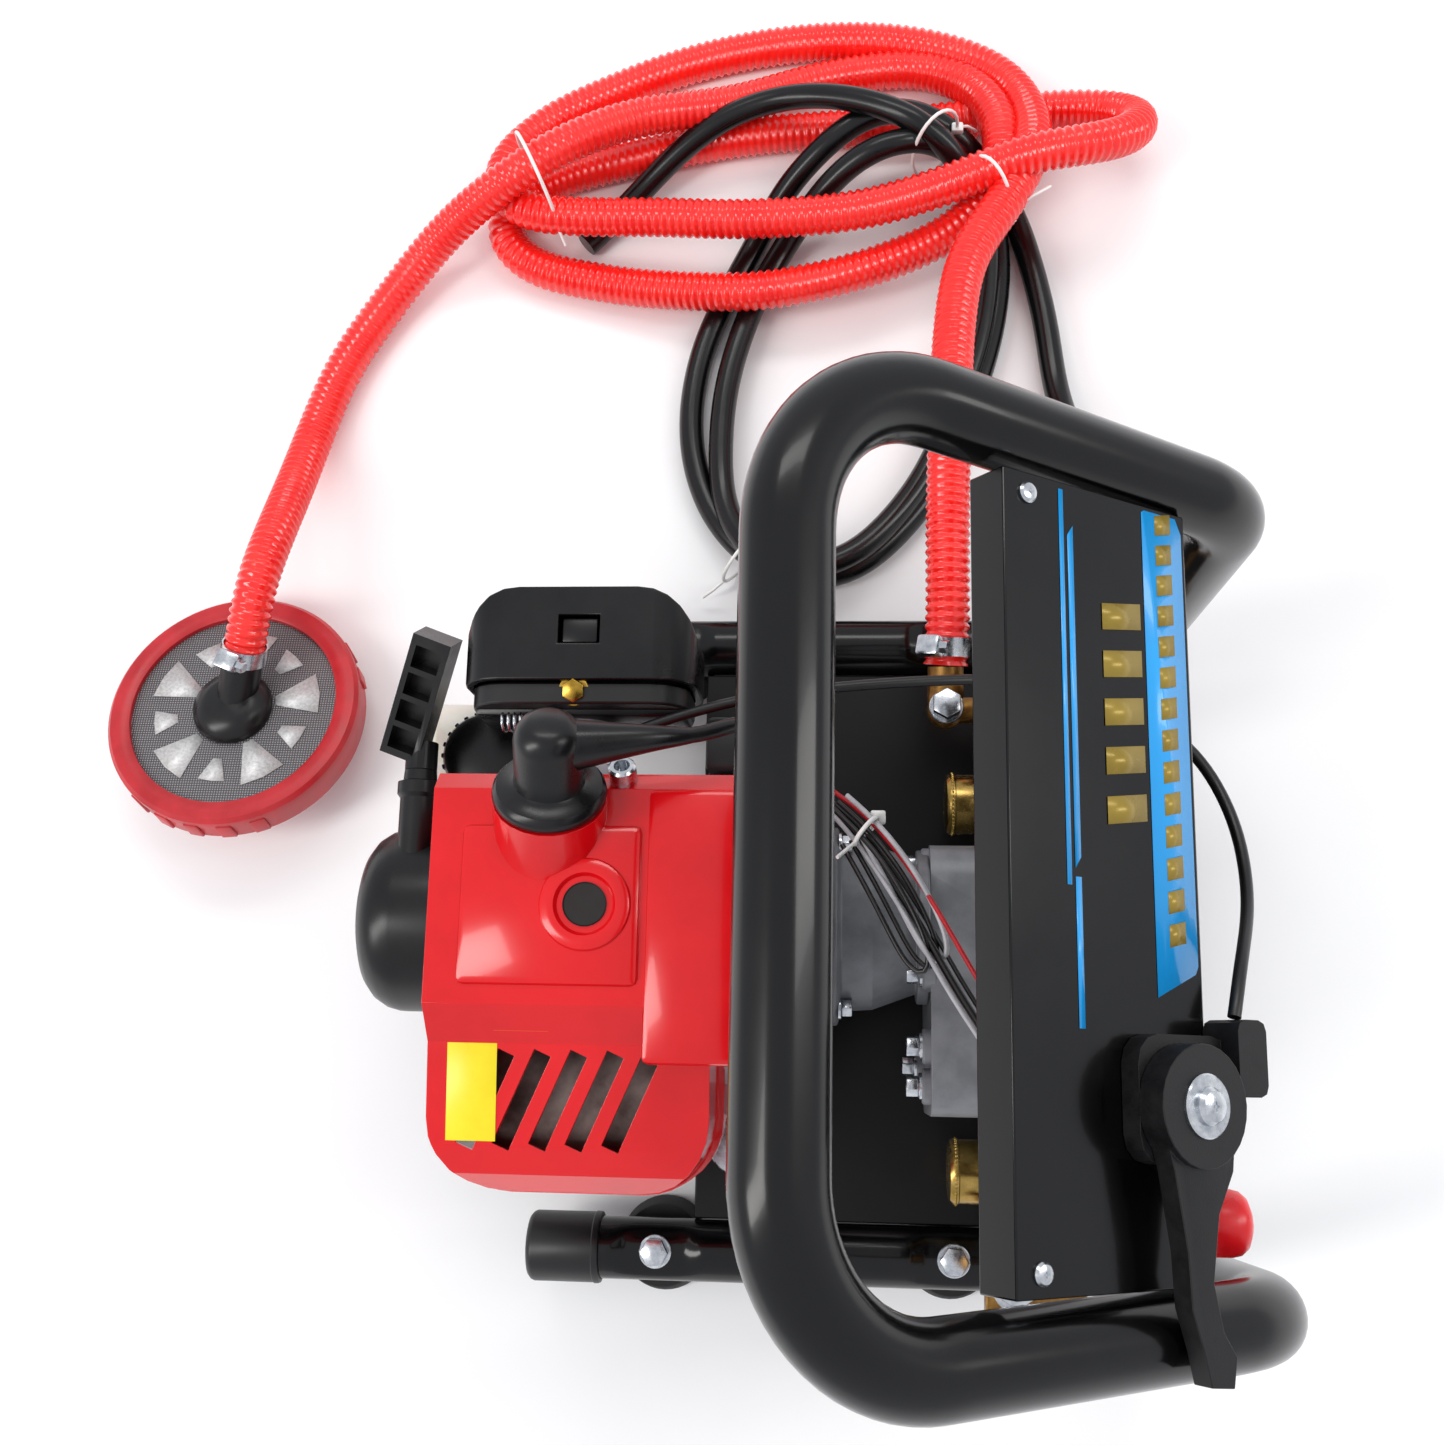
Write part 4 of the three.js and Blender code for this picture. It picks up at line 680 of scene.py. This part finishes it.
brass_olive = finish("passivated_brass", "b99a58", "94793a", (0.18, 0.3), 9, 0.5, 0.01, Metallic=1.0)
chrome = finish("chromed_steel", "e4e7ea", "ccd0d4", (0.06, 0.12), 20, 0.5, 0.004, Metallic=1.0)
cast_brass = finish("cast_brass", "a97f45", "7f5b2c", (0.32, 0.5), 6, 0.7, 0.06, Metallic=0.9)
PUMP_Y, PUMP_Z = -26, 95
CUP_OUT = 92
HEAD_OUT = 65 + 64 + 0.6 + 13.5
ROD_OUT, ROD_LENGTH = 70, 62
for name, side in (("near", -1), ("far", 1)):
    rounded_copy(f"pump_cylinder_{name}", cast_dark, 0.8)
    rounded_copy(f"valve_head_{name}", cast_brass, 1.2)
    dress(f"tie_rod_{name}", chrome)
    cup = bmesh.new()
    at = (105.7, PUMP_Y + side * CUP_OUT, PUMP_Z)
    turned(cup, [(0, 0), (12, 0), (14.6, 0.8), (15.6, 2.4), (15.6, 16.5), (16, 17), (16, 19.4), (15, 21),
                 (11.5, 21.9), (6, 22.3), (0, 22.4)], at, (-1, 0, 0), 56)
    for k in range(48):
        a = k * pi / 24
        block(cup, (1.1, 1.3, 1.6), (at[0] - 18.2, at[1] + 15.9 * cos(a), at[2] + 15.9 * sin(a)), edge=0.3)
    grease_cup = piece(f"grease_cup_{name}_finish", cup, brass_olive, f"grease_cap_{name}")
    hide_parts(f"grease_cup_{name}")
    neck = bmesh.new()
    turned(neck, [(0, 0), (8.2, 0), (8.2, 4), (7.6, 4.6), (0, 4.6)], (110.5, at[1], PUMP_Z), (-1, 0, 0), 6)
    cup_neck = piece(f"grease_neck_{name}", neck, brass)
    top = bmesh.new()
    head_y = PUMP_Y + side * HEAD_OUT
    hex_bolt(top, (114, head_y, 121), (0, 0, 1), across=15, height=6, washer=11)
    cross_screw(top, (114, head_y, 128.4), (0, 0, 1), 6.0, 1.8)
    head_cap = piece(f"valve_screw_{name}", top, bright_zinc)
    rod = bmesh.new()
    for x, z in ((107, 116), (118, 118)):
        turned(rod, [(0, 0), (4.6, 0), (4.6, ROD_LENGTH), (0, ROD_LENGTH)], (x, PUMP_Y + side * ROD_OUT, z),
               (0, side, 0), 24)
    rods = piece(f"tie_rods_{name}", rod, chrome)
rounded_copy("suction_elbow", cast_brass, 0.8, angle=40)
rounded_copy("pressure_regulator", cast_brass, 1.2)
rounded_copy("regulator_knob", moulded_black, 0.8, body="regulator")
inlet = bmesh.new()
hex_bolt(inlet, (85, 117, 99.5), (0, 0, 1), across=14, height=9, washer=9)
inlet_nut = piece("inlet_nut", inlet, bright_zinc)

# ---- Hose clamps and cable ties -----------------------------------------------------------
# Zinc worm-drive clamps on the hose ends, and white nylon ties round the coils.
tie_white = finish("natural_nylon_tie", "f4f4f2", "e9e9e6", (0.3, 0.4), 10, 0.8, 0.01)


def clamp(name, at, way, radius, toward):
    """A worm-drive clamp round a hose, with its screw housing toward a direction."""
    band = bmesh.new()
    turned(band, [(radius, -5), (radius + 0.8, -5), (radius + 0.8, 5), (radius, 5), (radius, -5)], at, way,
           44)
    axis = Vector(way).normalized()
    toward = Vector(toward).normalized()
    out = (toward - axis * toward.dot(axis)).normalized()
    housing = Vector(at) + out * (radius + 4.2)
    screw_way = Vector(way).cross(out).normalized()
    block(band, (11, 9.4, 13), tuple(housing), tuple(screw_way), edge=1.6)
    turned(band, [(0, 0), (3.6, 0), (3.6, 4), (3.0, 4.8), (0, 4.8)], tuple(housing + screw_way * 6),
           tuple(screw_way), 6)
    made = piece(name, band, bright_zinc)


clamp("clamp_pump", (85, 149.5, 99.2), (0.02, 0.97, 0.24), 12.1, (-0.6, 0, 1))
clamp("clamp_strainer", (-313.2, 157.5, 59.9), (0.3, 0.75, 0.59), 12.1, (-0.2, -0.5, 1))


def cable_tie(name, loop, tail):
    """A nylon tie: its band, its lock head and its cut tail."""
    band = tube(name, loop + loop[:1], 1.1, tie_white, sides=2)
    lock = bmesh.new()
    block(lock, (7, 6, 5), loop[0], edge=1)
    head = piece(name + "_head", lock, tie_white)
    end = tube(name + "_tail", tail, 0.9, tie_white, sides=2)


OVAL_POINTS = 28


def oval(at, u, v, a, b):
    """An oval loop round a place, with half widths a and b along u and v."""
    at, u, v = Vector(at), Vector(u).normalized(), Vector(v).normalized()
    angles = np.linspace(0, 2 * pi, OVAL_POINTS, endpoint=False)
    return [tuple(at + u * a * cos(t) + v * b * sin(t)) for t in angles]


for name, at, u, a, b, tail in (
    ("tie_coil_right", (116, 441, 52), (0.62, -0.78, 0), 19, 33,
     [(128, 426, 56), (138, 431, 64), (150, 437, 66)]),
    ("tie_coil_left", (-160, 464, 44), (0.45, -0.9, 0), 27, 33,
     [(-148, 440, 46), (-146, 432, 40), (-143, 426, 30)]),
    ("tie_return_far", (84, 480, 44), (0.8, 0.6, 0), 17, 31,
     [(98, 490, 46), (104, 494, 40), (110, 497, 30)]),
    ("tie_return_near", (-30, 227, 18), (0.62, 0.78, 0), 18, 16,
     [(-41, 212, 18), (-47, 208, 14), (-54, 205, 8)]),
):
    cable_tie(name, oval(at, u, (0, 0, 1), a, b), tail)

# ---- Engine wires -------------------------------------------------------------------------
# Stop switch wires in a black loom from the fan case to the button, with a grey earth wire,
# a red wire and a white tie.
wire_red = finish("extruded_red_pvc", "c01420", "a80f1a", (0.3, 0.4), 12, 0.5, 0.01)
wire_grey = finish("extruded_grey_pvc", "b6b6ba", "a4a4a8", (0.3, 0.4), 12, 0.5, 0.01)
STOP_ROUTE = [(147.5, -126, 253), (132, -116, 249), (112, -84, 240), (84, -40, 226), (62, 0, 212),
              (40, 34, 196), (18, 58, 182), (2, 78, 166)]
stop_wires = tube("stop_wires_finish", along(STOP_ROUTE, 4, 8), 1.7, cable_black)
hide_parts("stop_wires")
WIRE_RADIUS = 1.1
for name, shift, material in (
    ("wire_red", (6, 9, 5), wire_red),
    ("wire_grey", (-3, -2, 3), wire_grey),
    ("wire_black", (3, 3, -3), cable_black),
):
    bow = [sin(pi * i / 7) for i in range(len(STOP_ROUTE))]
    points = [tuple(v + s * b for v, s in zip(spot, shift)) for spot, b in zip(STOP_ROUTE, bow)]
    wire = tube(name, along(points, 4, 8), WIRE_RADIUS, material, sides=4)
loop = [(30, 50, 196), (44, 36, 204), (60, 14, 212), (72, -10, 216), (76, -26, 215), (70, -30, 212),
        (62, -18, 209), (50, 6, 205), (36, 32, 197)]
for i, (lift, material) in enumerate(((0, cable_black), (4, wire_grey), (-4, cable_black))):
    points = [(x + lift, y + lift * 0.6, z + abs(lift)) for x, y, z in loop]
    spare = tube(f"wire_loop_{i + 1}", along(points, 3, 8), 1.2, material, sides=4)
cable_tie("tie_wires", oval((43, 36, 203), (0.6, 0.7, -0.1), (0, 0.1, 1), 8, 9),
          [(38, 30, 206), (34, 26, 210), (30, 22, 214)])

# ---- Strainer -----------------------------------------------------------------------------
# Red moulded rim snapped round a woven wire disc, with a black hub whose neck takes the hose.
# Pale floats under the wire show as bright wedges.
rim_red = finish("moulded_red_polythene", "c3242c", "ae1a22", (0.3, 0.45), 24, 1.0, 0.04,
                 **{"Subsurface Weight": 0.15, "Subsurface Scale": 0.004})
tilt = Vector((0, sin(radians(15)), cos(radians(15))))
disc_at = Vector((-325, 127, 32))
rim_shape = bmesh.new()
turned(rim_shape, [(61, 6), (61, 9.6), (63, 10.8), (68, 11.2), (72, 10.4), (74.2, 8), (74.6, 5), (74, 1),
                   (74, -9), (73, -11), (66, -11), (66, 5), (61, 6)], tuple(disc_at), tuple(tilt), 96)
turned(rim_shape, [(0, -8), (66.5, -8), (66.5, -10), (0, -10)], tuple(disc_at), tuple(tilt), 64)
side_way = tilt.cross(Vector((1, 0, 0)))
for k in (0, 1, 2, 8, 9, 14, 15, 16, 22, 23):
    a = radians(15 * k - 100)
    out = Vector((1, 0, 0)) * cos(a) + side_way * sin(a)
    block(rim_shape, (2.4, 9, 13), tuple(disc_at + out * 74.2 + tilt * -2), tuple(tilt), edge=0.8, spin=a)
rim = piece("strainer_rim", rim_shape, rim_red)
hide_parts("strainer")

GAUZE_PITCH = 1000 / 1.5 / 3.2
gauze_wire = bpy.data.materials.new("woven_steel_wire")
gauze_wire.use_nodes = True
tree = gauze_wire.node_tree
tree.nodes.clear()
spot = put(tree, "ShaderNodeTexCoord")
laid = put(tree, "ShaderNodeMapping", inputs={"Rotation": (radians(15), 0, 0)},
           links={"Vector": spot.outputs["Object"]})
warp = put(tree, "ShaderNodeTexWave", {"bands_direction": "X"}, {"Scale": GAUZE_PITCH, "Distortion": 0.4},
           {"Vector": laid.outputs[0]})
weft = put(tree, "ShaderNodeTexWave", {"bands_direction": "Y"}, {"Scale": GAUZE_PITCH, "Distortion": 0.4},
           {"Vector": laid.outputs[0]})
woven = put(tree, "ShaderNodeMath", {"operation": "MULTIPLY"},
            links={0: warp.outputs["Fac"], 1: weft.outputs["Fac"]})
shade = put(tree, "ShaderNodeValToRGB", links={"Fac": woven.outputs[0]})
shade.color_ramp.elements[0].color = linear("4e4c4e")
shade.color_ramp.elements[1].color = linear("a9a6a8")
knit = put(tree, "ShaderNodeBump", inputs={"Strength": 0.7, "Distance": 0.0003},
           links={"Height": woven.outputs[0]})
thread = put(tree, "ShaderNodeBsdfPrincipled", inputs={"Metallic": 0.6, "Roughness": 0.4},
             links={"Base Color": shade.outputs["Color"], "Normal": knit.outputs["Normal"]})
put(tree, "ShaderNodeOutputMaterial", links={"Surface": thread.outputs[0]})
gauze = bmesh.new()
turned(gauze, [(0, 7.2), (30, 7.2), (62, 6.6), (62, 5.6), (30, 6.2), (0, 6.2)], tuple(disc_at), tuple(tilt),
       96)
mesh_disc = piece("strainer_gauze", gauze, gauze_wire)

float_white = finish("pale_float_behind_wire", "d9d9d8", "bcbcbc", (0.4, 0.5), 1.6, 0.9, 0.12, Metallic=0.2)
wedges = bmesh.new()
for k in range(10):
    middle_a = radians(36 * k + 12)
    wide, inner, outer = ((0.26, 25, 51) if k % 2 == 0 else (0.17, 33, 47))
    ring_points = [(outer, middle_a - wide), (outer, middle_a), (outer, middle_a + wide),
                   (inner, middle_a + wide * 0.45), (inner, middle_a - wide * 0.45)]
    corners = []
    for r, a in ring_points:
        out = Vector((1, 0, 0)) * cos(a) + side_way * sin(a)
        corners.append(wedges.verts.new(disc_at + out * r + tilt * 7.5))
    face = wedges.faces.new(corners)
    if face.normal.dot(tilt) < 0:
        face.normal_flip()
windows = piece("strainer_windows", wedges, float_white)
film = windows.modifiers.new("film", "SOLIDIFY")
film.thickness = 0.0003

hub_shape = bmesh.new()
turned(hub_shape, [(0, 7), (23, 7), (23.4, 9), (22.4, 12), (18, 16), (13, 18.6), (0, 19.4)], tuple(disc_at),
       tuple(tilt), 48)
neck_way = Vector((0.3, 0.75, 0.59)).normalized()
neck_foot = disc_at + tilt * 5
turned(hub_shape, [(8, 2), (11.4, 2), (11.4, 34), (8, 34), (8, 2)], tuple(neck_foot), tuple(neck_way), 40)
hub = piece("strainer_hub", hub_shape, boot_rubber)
